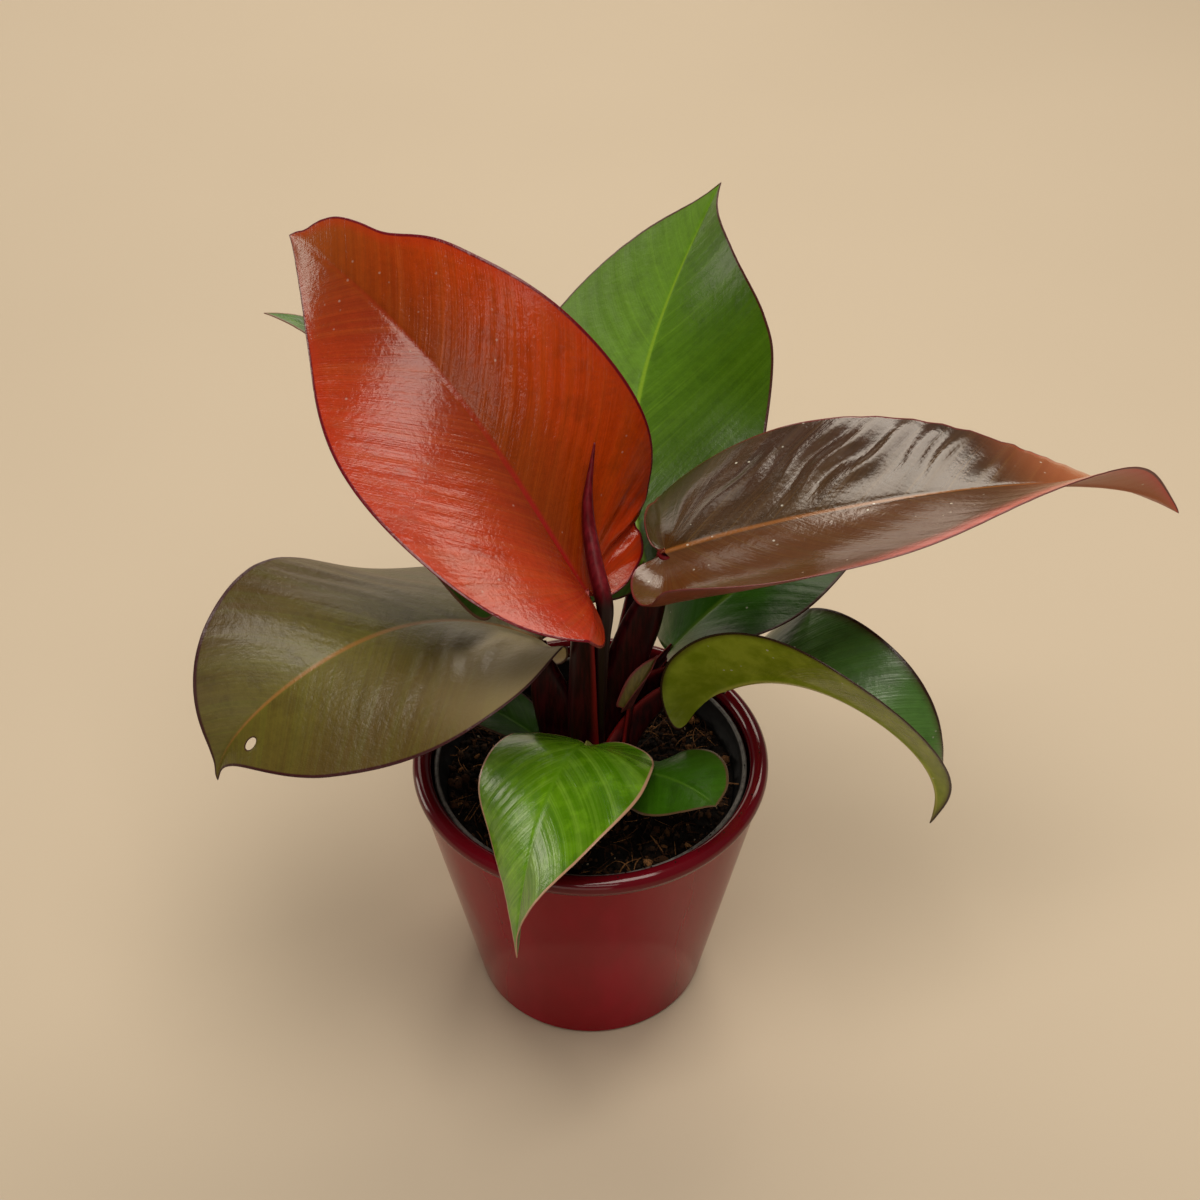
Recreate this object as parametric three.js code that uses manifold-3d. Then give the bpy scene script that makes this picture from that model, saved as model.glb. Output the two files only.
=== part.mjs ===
// Potted cherry red philodendron: a glazed cover pot, a plastic nursery pot standing in it, potting mix,
// a short stem with its petioles, ten leaf blades, a rolled new leaf and a bud sheath.
// Millimetres, +Z up. The origin is the centre of the cover pot's flat underside, and -Y is the front.

import * as THREE from 'three';
import { mergeVertices } from 'three/addons/utils/BufferGeometryUtils.js';
import Module from 'manifold-3d';

const wasm = await Module();
wasm.setup();

// Gap between pieces that touch, and how many times wider it is at a blade's edge, whose corners are sharp
const GAP = 0.3;
const EDGE_SEAT = 3;

// Glazed cover pot: a cone with a rolled rim
const POT_HEIGHT = 113;
const POT_BASE_RADIUS = 46;
const POT_RIM_RADIUS = 68;
const RIM_ROLL = 3.5;
const POT_WALL = 3.2;
const POT_FLOOR = 5;
const FOOT_ROUND = 2;
const POT_SEGMENTS = 48;

// Plastic nursery pot, a standard 12 cm grower's pot
const NURSERY_RIM_RADIUS = 60;
const NURSERY_RIM_TOP = 108.5;
const NURSERY_RIM_BAND = 9;
const NURSERY_BASE_RADIUS = 40;
const NURSERY_SHOULDER = 3;
const NURSERY_WALL = 1.2;
const NURSERY_SEGMENTS = 40;
const DRAIN_HOLES = 8;
const DRAIN_HOLE_RADIUS = 4;
const DRAIN_HOLE_SIDES = 10;
const DRAIN_CIRCLE_RADIUS = 28;

// Potting mix
const SOIL_LEVEL = 98;
const SOIL_RELIEF = 1.1;
const SOIL_EDGE_RADIUS = 56;
const SOIL_EDGE_FADE = 6;
const SOIL_RINGS = 9;
const SOIL_SEGMENTS = 36;

// Short stem standing in a plain hole in the mix
const STEM_RADIUS = 12.4;
const STEM_BOTTOM = 60;
const STEM_TOP = 112;
const STEM_SIDES = 20;
const PETIOLE_FOOT = 101;

// Leaf blades
const BLADE_THICKNESS = 0.9;
const RIB_DEPTH = 1.3;
const RIB_STEPS = 80;

// Rulings before LOBE_SHARE all start at the joint, and the others spread along the midrib
const LOBE_SHARE = 0.25;
const LAST_RULING = 0.98;
const RULING_SPREAD = 1.1;

// Each blade hangs on its joint, where the petiole meets it. heading and rise are the compass and climbing
// angles of the midrib, and roll turns the blade about it, at four stations from joint to tip. width is the
// half width to the left and right of the midrib, and lobe is how far each basal lobe reaches back. belly is
// where the blade is widest, as a share of its length; full and tail fatten the outline's middle and end.
// lift folds each half up from flat, curl bends it from midrib to margin, and ear bends its lobe up, in
// degrees. rows and columns set how finely each half is cut up.
const LEAVES = {
  orange: {
    joint: [-2, -3, 196], length: 179, heading: [152, 140, 146, 122], rise: [55, 59, 25, -11],
    roll: [-25, 19, 24, 52], width: [57, 53], lobe: [9, 11], belly: 0.14, full: 0.02, tail: 0.10,
    lift: [[20, 7, -22], [17, 26, -5]], curl: [[-24, -3, 16], [10, 22, -10]], ear: [-3, 56],
    rows: 20, columns: 4, colour: 0xb8401c,
  },
  back_green: {
    joint: [20, 37, 176], length: 164, heading: [104, 81, 66, 45], rise: [28, 21, 34, 52],
    roll: [0, 7, 15, 26], width: [51, 54], lobe: [14, 14], belly: 0.46, full: 0.06, tail: 0.04,
    lift: [[8, -1, 8], [11, 2, 20]], curl: [[-4, -8, -8], [0, -6, -9]], ear: [10, 10],
    rows: 18, columns: 4, colour: 0x2f5a1c,
  },
  bronze_right: {
    joint: [27, 10, 203], length: 216, heading: [5, 3, 18, 29], rise: [19, 4, 1, -47],
    roll: [-7, -10, 18, 48], width: [53, 55], lobe: [7, 15], belly: 0.05, full: -0.04, tail: -0.01,
    lift: [[-14, 27, 9], [-18, 11, 37]], curl: [[-17, 9, 6], [100, -22, 20]], ear: [87, 50],
    rows: 20, columns: 4, colour: 0x6b4638,
  },
  bronze_left: {
    joint: [-19, 7, 164], length: 152, heading: [173, 235, 225, 171], rise: [26, 28, -16, -82],
    roll: [-16, -10, 27, 52], width: [55, 53], lobe: [8, 6], belly: 0.06, full: 0.14, tail: -0.01,
    lift: [[21, -18, 26], [20, -25, 53]], curl: [[11, -32, 11], [-23, -41, 40]], ear: [-72, 28],
    rows: 20, columns: 4, colour: 0x5b5a38,
  },
  back_left: {
    joint: [-30, 17, 191], length: 130, heading: [144, 143, 140, 167], rise: [55, 52, 36, 5],
    roll: [0, -4, -8, -12], width: [40, 40], lobe: [8, 8], belly: 0.30, full: -0.20, tail: -0.02,
    lift: [[14, 12, 14], [26, 10, 8]], curl: [[0, 0, 4], [0, 0, 4]], ear: [10, 20],
    rows: 16, columns: 3, colour: 0x33611f,
  },
  folded_right: {
    joint: [51, 6, 141], length: 122, heading: [-22, -50, -26, 12], rise: [41, 11, -34, -107],
    roll: [27, 13, 8, 17], width: [32, 31], lobe: [8, 27], belly: 0.18, full: -0.11, tail: -0.03,
    lift: [[30, 69, 23], [34, 57, 37]], curl: [[-22, 38, -10], [14, 16, -23]], ear: [10, -60],
    rows: 20, columns: 4, colour: 0x2c4a24,
  },
  low_right: {
    joint: [32, 24, 145], length: 98, heading: [30, 30, 28, 36], rise: [37, 30, 1, -32],
    roll: [16, -7, -10, -9], width: [30, 29], lobe: [6, 4], belly: 0.22, full: 0.02, tail: -0.01,
    lift: [[-4, 10, 8], [25, -6, 9]], curl: [[-19, 0, 0], [6, -15, 6]], ear: [-100, 20],
    rows: 16, columns: 3, colour: 0x2d5a1e,
  },
  front: {
    joint: [-2, -18, 134], length: 95, heading: [-115, -110, -112, -93], rise: [45, -25, -55, -52],
    roll: [0, -7, -37, -66], width: [32, 34], lobe: [16, 9], belly: 0.29, full: -0.04, tail: 0.01,
    lift: [[8, -11, 35], [-3, -10, 2]], curl: [[-16, -33, 7], [-12, -10, -21]], ear: [27, 18],
    rows: 18, columns: 4, colour: 0x4f8a22,
  },
  small_right: {
    joint: [17, -15, 117], length: 53, heading: [-41, -44, -58, -77], rise: [32, 18, 18, 30],
    roll: [8, -10, -12, -12], width: [18, 19], lobe: [9, 9], belly: 0.35, full: 0.03, tail: 0.02,
    lift: [[-5, 14, -3], [2, 0, -4]], curl: [[-10, 7, -6], [-10, -8, 0]], ear: [10, 10],
    rows: 14, columns: 3, colour: 0x3c7020,
  },
  small_left: {
    joint: [-22, 4, 118], length: 42, heading: [161, 164, 168, 172], rise: [36, 23, 10, -2],
    roll: [-8, -5, -1, 2], width: [14, 14], lobe: [5, 5], belly: 0.28, full: 0, tail: 0,
    lift: [[16, 9, 8], [12, 8, 8]], curl: [[4, 0, 0], [0, 0, 0]], ear: [10, 10],
    rows: 12, columns: 3, colour: 0x3a6a22,
  },
};

// Petioles: foot is where each starts on the stem, leave and arrive are the Bezier handles at its two ends,
// sheath is the half width of its clasping base and slim that of its top, wing is how high the sheath's edges
// stand, fade how fast the sheath narrows, thick the depth of its back, as slim if not given, neck the share by
// which it narrows before the joint, and face where its back looks, outward if not given.
const PETIOLES = {
  orange: {
    foot: [-4, -3], leave: [-1, 0, 35], arrive: [-1, 1, -30], sheath: 8, wing: 8, slim: 3.4, fade: 0.5,
    face: [-1, 0],
  },
  back_green: {
    foot: [7, 1], leave: [1, -4, 40], arrive: [-4, -22, -22], sheath: 8, wing: 3, slim: 4, fade: 0.8,
  },
  bronze_right: {
    foot: [6, 4], leave: [-2, 3, 40], arrive: [-4, 2, -34], sheath: 9, wing: 3, slim: 7.4, fade: 1,
    thick: 3.4, neck: 0.6, face: [0.2, -1],
  },
  bronze_left: {
    foot: [-6, 0], leave: [-5, -1, 22], arrive: [5, -3, -26], sheath: 11, wing: 3, slim: 8.4, fade: 1,
    thick: 3.4, neck: 0.6, face: [-0.5, -1],
  },
  back_left: { foot: [-2, 7], leave: [2, 1, 50], arrive: [30, -9, 1], sheath: 6, wing: 2, slim: 2.4 },
  folded_right: {
    foot: [9, 0], leave: [2, 2, 24], arrive: [-21, 15, 2], sheath: 8, wing: 10, slim: 3.4, fade: 0.5,
    thick: 3.8, neck: 0.6,
  },
  low_right: { foot: [8, 5], leave: [3, 5, 20], arrive: [-12, -6, -12], sheath: 5, wing: 2, slim: 2.2 },
  front: { foot: [-1, -8], leave: [0, -3, 14], arrive: [1, 3, -12], sheath: 5, wing: 2, slim: 2.2 },
  small_right: { foot: [7, -7], leave: [1, -1, 6], arrive: [-3, 1, -5], sheath: 4, wing: 1, slim: 1.6 },
  small_left: { foot: [-9, -3], leave: [-1, 0, 7], arrive: [3, -1, -5], sheath: 4, wing: 1, slim: 1.6 },
};
const NECK_START = 0.6;
const PETIOLE_STEPS = 10;

// Rolled new leaf: points of its middle line and the radius at each
const NEW_LEAF_PATH = [
  [3, -4, 107], [3.5, -4.5, 140], [4.5, -5.5, 172], [5.6, -5.5, 188], [4.5, -4, 196],
  [2, 2.5, 204], [-0.1, 11, 213.6], [-0.6, 14, 222.4], [0, 17, 229.5], [1.9, 21, 243],
];
const NEW_LEAF_RADII = [2.6, 2.6, 2.9, 3.2, 3.3, 3.1, 2.6, 2.1, 1.4, 0.4];
const NEW_LEAF_SIDES = 10;
const NEW_LEAF_STEPS = 20;

// Bud sheath standing beside the folded leaf's petiole
const BUD_SHEATH = {
  joint: [13.5, 0, 136], length: 24, heading: [25, 30, 34, 36], rise: [58, 60, 56, 50],
  roll: [0, 0, 0, 0], width: [5, 5], lobe: [1, 1], belly: 0.35, full: 0.02, tail: 0.02,
  lift: [[48, 40, 20], [48, 40, 20]], curl: [[20, 20, 10], [20, 20, 10]], ear: [0, 0],
  rows: 12, columns: 2, colour: 0x6f6420,
};

const radians = THREE.MathUtils.degToRad;

// Value at s from 0 to 1 of the Bernstein polynomial with the given control values
function blend(values, s) {
  let points = values.slice();
  while (points.length > 1) {
    points = points.slice(1).map((value, i) => points[i] * (1 - s) + value * s);
  }
  return points[0];
}

// Turns a three.js geometry into a solid
function solidOf(geometry) {
  const bare = geometry.clone();
  for (const name of Object.keys(bare.attributes)) {
    if (name !== 'position') bare.deleteAttribute(name);
  }
  const merged = mergeVertices(bare, 1e-4);
  const mesh = new wasm.Mesh({
    numProp: 3,
    vertProperties: new Float32Array(merged.attributes.position.array),
    triVerts: new Uint32Array(merged.index.array),
  });
  return new wasm.Manifold(mesh);
}

// Turns a solid back into a three.js geometry
function geometryOf(solid) {
  const { vertProperties, triVerts } = solid.getMesh();
  const geometry = new THREE.BufferGeometry();
  geometry.setAttribute('position', new THREE.BufferAttribute(new Float32Array(vertProperties), 3));
  geometry.setIndex(new THREE.BufferAttribute(new Uint32Array(triVerts), 1));
  geometry.computeVertexNormals();
  return geometry;
}

// Keeps the largest piece of a solid that a cut may have left in several
function largestPiece(solid) {
  const pieces = solid.decompose();
  pieces.sort((a, b) => b.volume() - a.volume());
  return pieces[0];
}

// A profile of [radius, height] pairs turned about the Z axis
function turned(profile, segments) {
  const geometry = new THREE.LatheGeometry(profile.map(([r, z]) => new THREE.Vector2(r, z)), segments);
  geometry.rotateX(Math.PI / 2);
  return solidOf(geometry);
}

function upright(radius, bottom, top, segments) {
  return turned([[0, bottom], [radius, bottom], [radius, top], [0, top]], segments);
}

// Points of an arc in a profile, angles in degrees from the outward direction
function arc(centreR, centreZ, radius, from, to, steps) {
  return Array.from({ length: steps + 1 }, (_, i) => {
    const angle = radians(from + (to - from) * i / steps);
    return [centreR + radius * Math.cos(angle), centreZ + radius * Math.sin(angle)];
  });
}

function coverPot() {
  const rollR = POT_RIM_RADIUS - RIM_ROLL;
  const rollZ = POT_HEIGHT - RIM_ROLL;
  const profile = [
    [0, 0],
    ...arc(POT_BASE_RADIUS - FOOT_ROUND, FOOT_ROUND, FOOT_ROUND, -90, -10, 3),
    ...arc(rollR, rollZ, RIM_ROLL, -55, 215, 9),
    [POT_BASE_RADIUS + 1 - POT_WALL, POT_FLOOR + 2],
    [POT_BASE_RADIUS - 1 - POT_WALL, POT_FLOOR],
    [0, POT_FLOOR],
  ];
  return turned(profile, POT_SEGMENTS);
}

function nurseryPot() {
  const bottom = POT_FLOOR + GAP;
  const bandBottom = NURSERY_RIM_TOP - NURSERY_RIM_BAND;
  const bandInner = NURSERY_RIM_RADIUS - NURSERY_WALL - 1;
  const wallTop = NURSERY_RIM_RADIUS - NURSERY_SHOULDER;
  const profile = [
    [0, bottom],
    [NURSERY_BASE_RADIUS, bottom],
    [wallTop, bandBottom],
    [NURSERY_RIM_RADIUS - 0.6, bandBottom],
    [NURSERY_RIM_RADIUS, bandBottom + 1],
    ...arc(NURSERY_RIM_RADIUS - 1, NURSERY_RIM_TOP - 1, 1, 0, 180, 4),
    [bandInner, bandBottom + 1],
    [wallTop - NURSERY_WALL, bandBottom - 1],
    [NURSERY_BASE_RADIUS - NURSERY_WALL, bottom + NURSERY_WALL],
    [0, bottom + NURSERY_WALL],
  ];
  let pot = turned(profile, NURSERY_SEGMENTS);
  for (let i = 0; i < DRAIN_HOLES; i++) {
    const angle = 2 * Math.PI * i / DRAIN_HOLES;
    const hole = upright(DRAIN_HOLE_RADIUS, bottom - 1, bottom + NURSERY_WALL + 1, DRAIN_HOLE_SIDES);
    const x = DRAIN_CIRCLE_RADIUS * Math.cos(angle);
    const y = DRAIN_CIRCLE_RADIUS * Math.sin(angle);
    pot = pot.subtract(hole.translate([x, y, 0]));
  }
  return pot;
}

// Crumbly top of the mix: low mounds and hollows that fade out at the pot wall
function soilHeight(x, y) {
  const edge = Math.min(1, (SOIL_EDGE_RADIUS - Math.hypot(x, y)) / SOIL_EDGE_FADE);
  const mounds = Math.sin(0.21 * x + 1.3) * Math.cos(0.17 * y + 0.4) + 0.6 * Math.sin(0.43 * y - 0.31 * x);
  return SOIL_LEVEL + SOIL_RELIEF * mounds * Math.max(edge, 0);
}

function pottingMix() {
  const bottom = POT_FLOOR + GAP + NURSERY_WALL + GAP;
  const lowRadius = NURSERY_BASE_RADIUS - NURSERY_WALL - GAP - 0.2;
  const highRadius = NURSERY_RIM_RADIUS - NURSERY_SHOULDER - NURSERY_WALL - GAP - 0.4;
  const profile = [[0, bottom], [lowRadius, bottom]];
  for (let ring = SOIL_RINGS; ring >= 0; ring--) {
    profile.push([highRadius * ring / SOIL_RINGS, SOIL_LEVEL]);
  }
  const geometry = new THREE.LatheGeometry(profile.map(([r, z]) => new THREE.Vector2(r, z)), SOIL_SEGMENTS);
  geometry.rotateX(Math.PI / 2);
  const place = geometry.attributes.position;
  for (let i = 0; i < place.count; i++) {
    if (place.getZ(i) > SOIL_LEVEL - 1) place.setZ(i, soilHeight(place.getX(i), place.getY(i)));
  }
  const hole = upright(STEM_RADIUS + 2 * GAP, STEM_BOTTOM - GAP, SOIL_LEVEL + 9, 24);
  return solidOf(geometry).subtract(hole);
}

function stem() {
  const profile = [
    [0, STEM_BOTTOM],
    [STEM_RADIUS - 2, STEM_BOTTOM],
    [STEM_RADIUS, STEM_BOTTOM + 3],
    [STEM_RADIUS, PETIOLE_FOOT],
    [STEM_RADIUS - 2, PETIOLE_FOOT + 5],
    [STEM_RADIUS - 7, STEM_TOP],
    [0, STEM_TOP + 1],
  ];
  return turned(profile, STEM_SIDES);
}

// A closed body from rings of points, capped at both ends; every ring has the same number of points
function ringBody(rings) {
  const count = rings[0].length;
  const vertices = rings.flat().flatMap((p) => [p.x, p.y, p.z]);
  const triangles = [];
  for (let i = 0; i + 1 < rings.length; i++) {
    for (let k = 0; k < count; k++) {
      const next = (k + 1) % count;
      const a = i * count + k;
      const b = i * count + next;
      triangles.push(a, b, b + count, a, b + count, a + count);
    }
  }
  for (const [ring, flip] of [[0, true], [rings.length - 1, false]]) {
    const cap = THREE.ShapeUtils.triangulateShape(flatRing(rings[ring]), []);
    for (const [a, b, c] of cap) {
      const start = ring * count;
      if (flip) triangles.push(start + a, start + c, start + b);
      else triangles.push(start + a, start + b, start + c);
    }
  }
  const geometry = new THREE.BufferGeometry();
  geometry.setAttribute('position', new THREE.Float32BufferAttribute(vertices, 3));
  geometry.setIndex(triangles);
  return solidOf(geometry);
}

// A ring of points seen flat, in its own plane, so that its cap can be cut into triangles
function flatRing(ring) {
  const centre = ring.reduce((sum, p) => sum.clone().add(p), new THREE.Vector3()).divideScalar(ring.length);
  const normal = new THREE.Vector3();
  ring.forEach((p, i) => {
    const q = ring[(i + 1) % ring.length];
    normal.add(new THREE.Vector3().subVectors(p, centre).cross(new THREE.Vector3().subVectors(q, centre)));
  });
  normal.normalize();
  const across = new THREE.Vector3().subVectors(ring[0], centre).normalize();
  const up = new THREE.Vector3().crossVectors(normal, across);
  return ring.map((p) => {
    const arm = new THREE.Vector3().subVectors(p, centre);
    return new THREE.Vector2(arm.dot(across), arm.dot(up));
  });
}

// Section of a petiole as [across, up] pairs: a round back and a groove between two edges
function petioleSection(halfWidth, depth, wing) {
  const back = [0, 30, 60, 90, 120, 150, 180].map((degrees) => {
    const angle = radians(degrees);
    return [-halfWidth * Math.cos(angle), -depth * Math.sin(angle)];
  });
  const groove = [[halfWidth * 0.72, wing], [0, -depth * 0.25], [-halfWidth * 0.72, wing]];
  return [...back, ...groove];
}

function petiole(name) {
  const { foot, leave, arrive, sheath, wing, slim, fade = 1.2, thick = slim, neck = 0, face } = PETIOLES[name];
  const start = new THREE.Vector3(foot[0], foot[1], PETIOLE_FOOT);
  const end = new THREE.Vector3(...LEAVES[name].joint);
  const curve = new THREE.CubicBezierCurve3(
    start,
    start.clone().add(new THREE.Vector3(...leave)),
    end.clone().add(new THREE.Vector3(...arrive)),
    end,
  );
  const outward = new THREE.Vector3(...(face ?? [end.x, end.y]), 0).normalize();
  const across = new THREE.Vector3(-outward.y, outward.x, 0);
  const rings = [];
  for (let i = 0; i <= PETIOLE_STEPS; i++) {
    const s = i / PETIOLE_STEPS;
    const point = curve.getPoint(s);
    const along = curve.getTangent(s);
    const side = across.clone().addScaledVector(along, -across.dot(along)).normalize();
    const inward = new THREE.Vector3().crossVectors(along, side);
    const clasp = Math.pow(1 - s, fade);
    const narrowing = 1 - neck * THREE.MathUtils.smoothstep(s, NECK_START, 1);
    const halfWidth = (slim + (sheath - slim) * clasp) * narrowing;
    const section = petioleSection(halfWidth, thick + 1.2 * clasp, wing * clasp * narrowing + 0.4);
    rings.push(section.map(([x, y]) => point.clone().addScaledVector(side, x).addScaledVector(inward, y)));
  }
  return ringBody(rings);
}

function newLeaf(extra = 0) {
  const curve = new THREE.CatmullRomCurve3(NEW_LEAF_PATH.map((p) => new THREE.Vector3(...p)));
  const across = new THREE.Vector3(1, 0, 0);
  const last = NEW_LEAF_PATH.length - 1;
  const rings = [];
  for (let i = 0; i <= NEW_LEAF_STEPS; i++) {
    const s = i / NEW_LEAF_STEPS;
    const point = curve.getPoint(s);
    const along = curve.getTangent(s);
    const side = across.clone().addScaledVector(along, -across.dot(along)).normalize();
    const up = new THREE.Vector3().crossVectors(along, side);
    const k = Math.min(Math.floor(s * last), last - 1);
    const radius = THREE.MathUtils.lerp(NEW_LEAF_RADII[k], NEW_LEAF_RADII[k + 1], s * last - k) + extra;
    rings.push(Array.from({ length: NEW_LEAF_SIDES }, (_, n) => {
      const angle = 2 * Math.PI * n / NEW_LEAF_SIDES;
      return point.clone()
        .addScaledVector(side, radius * Math.cos(angle))
        .addScaledVector(up, radius * Math.sin(angle));
    }));
  }
  return ringBody(rings);
}

// Half outline, a smooth curve through [share of length, share of half width]; a negative length is the lobe
function outlinePoint(leaf, side, t) {
  const lobe = leaf.lobe[side] / leaf.length;
  const { belly, full, tail } = leaf;
  const rest = 1 - belly;
  const points = [
    [0, 0], [-0.8 * lobe, 0.12], [-lobe, 0.40], [-0.45 * lobe, 0.78], [belly, 1],
    [belly + 0.38 * rest, 0.86 + full], [belly + 0.70 * rest, 0.48 + 1.2 * full],
    [belly + 0.90 * rest, 0.12 + tail], [1, 0],
  ];
  const last = points.length - 1;
  const k = Math.min(Math.floor(t * last), last - 1);
  const f = t * last - k;
  const mirror = (a, b) => [2 * a[0] - b[0], 2 * a[1] - b[1]];
  const before = k > 0 ? points[k - 1] : mirror(points[0], points[1]);
  const after = k + 2 <= last ? points[k + 2] : mirror(points[last], points[last - 1]);
  return [0, 1].map((axis) => {
    const [a, b, c, d] = [before[axis], points[k][axis], points[k + 1][axis], after[axis]];
    const [slope, bend, twist] = [c - a, 2 * a - 5 * b + 4 * c - d, 3 * b - a - 3 * c + d];
    return 0.5 * (2 * b + slope * f + bend * f * f + twist * f * f * f);
  });
}

function ribDirection(leaf, s) {
  const heading = radians(blend(leaf.heading, s));
  const rise = radians(blend(leaf.rise, s));
  return new THREE.Vector3(
    Math.cos(rise) * Math.cos(heading), Math.cos(rise) * Math.sin(heading), Math.sin(rise));
}

// Points of the midrib, found by walking along its direction
function ribPoints(leaf) {
  const points = [new THREE.Vector3(...leaf.joint)];
  const step = leaf.length / RIB_STEPS;
  for (let i = 0; i < RIB_STEPS; i++) {
    const ahead = ribDirection(leaf, i / RIB_STEPS).add(ribDirection(leaf, (i + 1) / RIB_STEPS));
    points.push(points[i].clone().addScaledVector(ahead, step / 2));
  }
  return points;
}

// A point of the blade: u is the share of the length along the midrib, v the distance out from it in mm
function bladePoint(leaf, rib, side, u, v) {
  const s = Math.min(Math.max(u, 0), 1);
  const k = Math.min(Math.floor(s * RIB_STEPS), RIB_STEPS - 1);
  const point = rib[k].clone().lerp(rib[k + 1], s * RIB_STEPS - k);
  const along = ribDirection(leaf, s);
  const heading = radians(blend(leaf.heading, s));
  const rise = radians(blend(leaf.rise, s));
  const level = new THREE.Vector3(
    -Math.sin(rise) * Math.cos(heading), -Math.sin(rise) * Math.sin(heading), Math.cos(rise));
  const left = new THREE.Vector3().crossVectors(level, along);
  const roll = radians(blend(leaf.roll, s));
  const up = level.multiplyScalar(Math.cos(roll)).addScaledVector(left, Math.sin(roll));
  const out = new THREE.Vector3().crossVectors(up, along).multiplyScalar(side === 0 ? 1 : -1);
  const back = Math.max(-u, 0) * leaf.length;
  const ear = radians(leaf.ear[side]) * back / leaf.lobe[side] / 2;
  const lift = radians(blend(leaf.lift[side], s));
  const halfCurl = radians(blend(leaf.curl[side], s)) * v / leaf.width[side] / 2;
  const chord = v * (halfCurl === 0 ? 1 : Math.sin(halfCurl) / halfCurl);
  return point
    .addScaledVector(along, -back * Math.cos(ear))
    .addScaledVector(up, back * Math.sin(ear))
    .addScaledVector(out, chord * Math.cos(lift + halfCurl))
    .addScaledVector(up, chord * Math.sin(lift + halfCurl));
}

// Middle surface of a blade: straight rulings from the midrib out to the margin, which fan out in the lobes
function bladeSurface(leaf) {
  const rib = ribPoints(leaf);
  const vertices = [];
  const triangles = [];
  const ribShare = [];
  for (const side of [0, 1]) {
    const first = vertices.length;
    for (let i = 1; i < leaf.rows; i++) {
      const t = i / leaf.rows;
      const [marginU, marginV] = outlinePoint(leaf, side, t);
      const spread = Math.max(0, (t - LOBE_SHARE) / (1 - LOBE_SHARE));
      const ribU = LAST_RULING * Math.pow(spread, RULING_SPREAD);
      for (let j = 0; j <= leaf.columns; j++) {
        const w = j / leaf.columns;
        const v = Math.max(marginV, 0) * leaf.width[side] * w;
        vertices.push(bladePoint(leaf, rib, side, ribU + (marginU - ribU) * w, v));
        ribShare.push(j === 0 ? 1 - 0.8 * ribU : 0);
      }
    }
    const tip = vertices.length;
    vertices.push(rib[RIB_STEPS].clone());
    ribShare.push(0);
    const add = (a, b, c) => {
      if (vertices[a].distanceTo(vertices[b]) < 1e-3) return;
      if (vertices[b].distanceTo(vertices[c]) < 1e-3) return;
      if (vertices[c].distanceTo(vertices[a]) < 1e-3) return;
      if (side === 0) triangles.push(a, b, c);
      else triangles.push(a, c, b);
    };
    const width = leaf.columns + 1;
    for (let i = 0; i < leaf.rows - 2; i++) {
      for (let j = 0; j < leaf.columns; j++) {
        const [a, b] = [first + i * width + j, first + i * width + j + 1];
        const [c, d] = [b + width, a + width];
        if (vertices[a].distanceTo(vertices[c]) < vertices[b].distanceTo(vertices[d])) {
          add(a, d, c);
          add(a, c, b);
        } else {
          add(a, d, b);
          add(b, d, c);
        }
      }
    }
    const end = first + (leaf.rows - 2) * width;
    for (let j = 0; j < leaf.columns; j++) add(end + j, tip, end + j + 1);
  }
  return { vertices, triangles, ribShare };
}

// Closed blade: the middle surface moved half a thickness up and down, with a low ridge under the midrib
function blade(leaf, extra = 0) {
  const { vertices, triangles, ribShare } = bladeSurface(leaf);
  const keys = new Map();
  const merged = [];
  const ridge = [];
  const index = vertices.map((p, i) => {
    const key = [p.x, p.y, p.z].map((value) => value.toFixed(3)).join(' ');
    if (!keys.has(key)) {
      keys.set(key, merged.length);
      merged.push(p);
      ridge.push(ribShare[i]);
    }
    return keys.get(key);
  });
  const faces = [];
  for (let i = 0; i < triangles.length; i += 3) {
    faces.push([index[triangles[i]], index[triangles[i + 1]], index[triangles[i + 2]]]);
  }
  const normals = merged.map(() => new THREE.Vector3());
  const edges = new Map();
  for (const [a, b, c] of faces) {
    const normal = new THREE.Vector3().subVectors(merged[b], merged[a])
      .cross(new THREE.Vector3().subVectors(merged[c], merged[a]));
    for (const k of [a, b, c]) normals[k].add(normal);
    for (const [p, q] of [[a, b], [b, c], [c, a]]) {
      if (edges.has(`${q} ${p}`)) edges.delete(`${q} ${p}`);
      else edges.set(`${p} ${q}`, [p, q]);
    }
  }
  normals.forEach((normal) => normal.normalize());
  const outward = merged.map(() => new THREE.Vector3());
  for (const [p, q] of edges.values()) {
    const along = new THREE.Vector3().subVectors(merged[q], merged[p]).normalize();
    outward[p].add(along.clone().cross(normals[p]));
    outward[q].add(along.clone().cross(normals[q]));
  }
  merged.forEach((p, i) => {
    if (outward[i].lengthSq() > 0.01) p.addScaledVector(outward[i].normalize(), EDGE_SEAT * extra);
  });
  const half = BLADE_THICKNESS / 2 + extra;
  const position = [];
  merged.forEach((p, i) => {
    position.push(...p.clone().addScaledVector(normals[i], -half - RIB_DEPTH * ridge[i]).toArray());
  });
  merged.forEach((p, i) => {
    position.push(...p.clone().addScaledVector(normals[i], half).toArray());
  });
  const count = merged.length;
  const triangleList = [];
  for (const [a, b, c] of faces) {
    triangleList.push(a, c, b, a + count, b + count, c + count);
  }
  for (const [p, q] of edges.values()) {
    triangleList.push(p, q, q + count, p, q + count, p + count);
  }
  const geometry = new THREE.BufferGeometry();
  geometry.setAttribute('position', new THREE.Float32BufferAttribute(position, 3));
  geometry.setIndex(triangleList);
  return solidOf(geometry);
}

function stemWithPetioles() {
  let plant = stem();
  for (const name of Object.keys(LEAVES)) plant = plant.add(petiole(name));
  for (const leaf of [...Object.values(LEAVES), BUD_SHEATH]) {
    plant = plant.subtract(blade(leaf, GAP));
  }
  plant = plant.subtract(newLeaf(GAP));
  return largestPiece(plant);
}

const plant = new THREE.Group();

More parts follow.
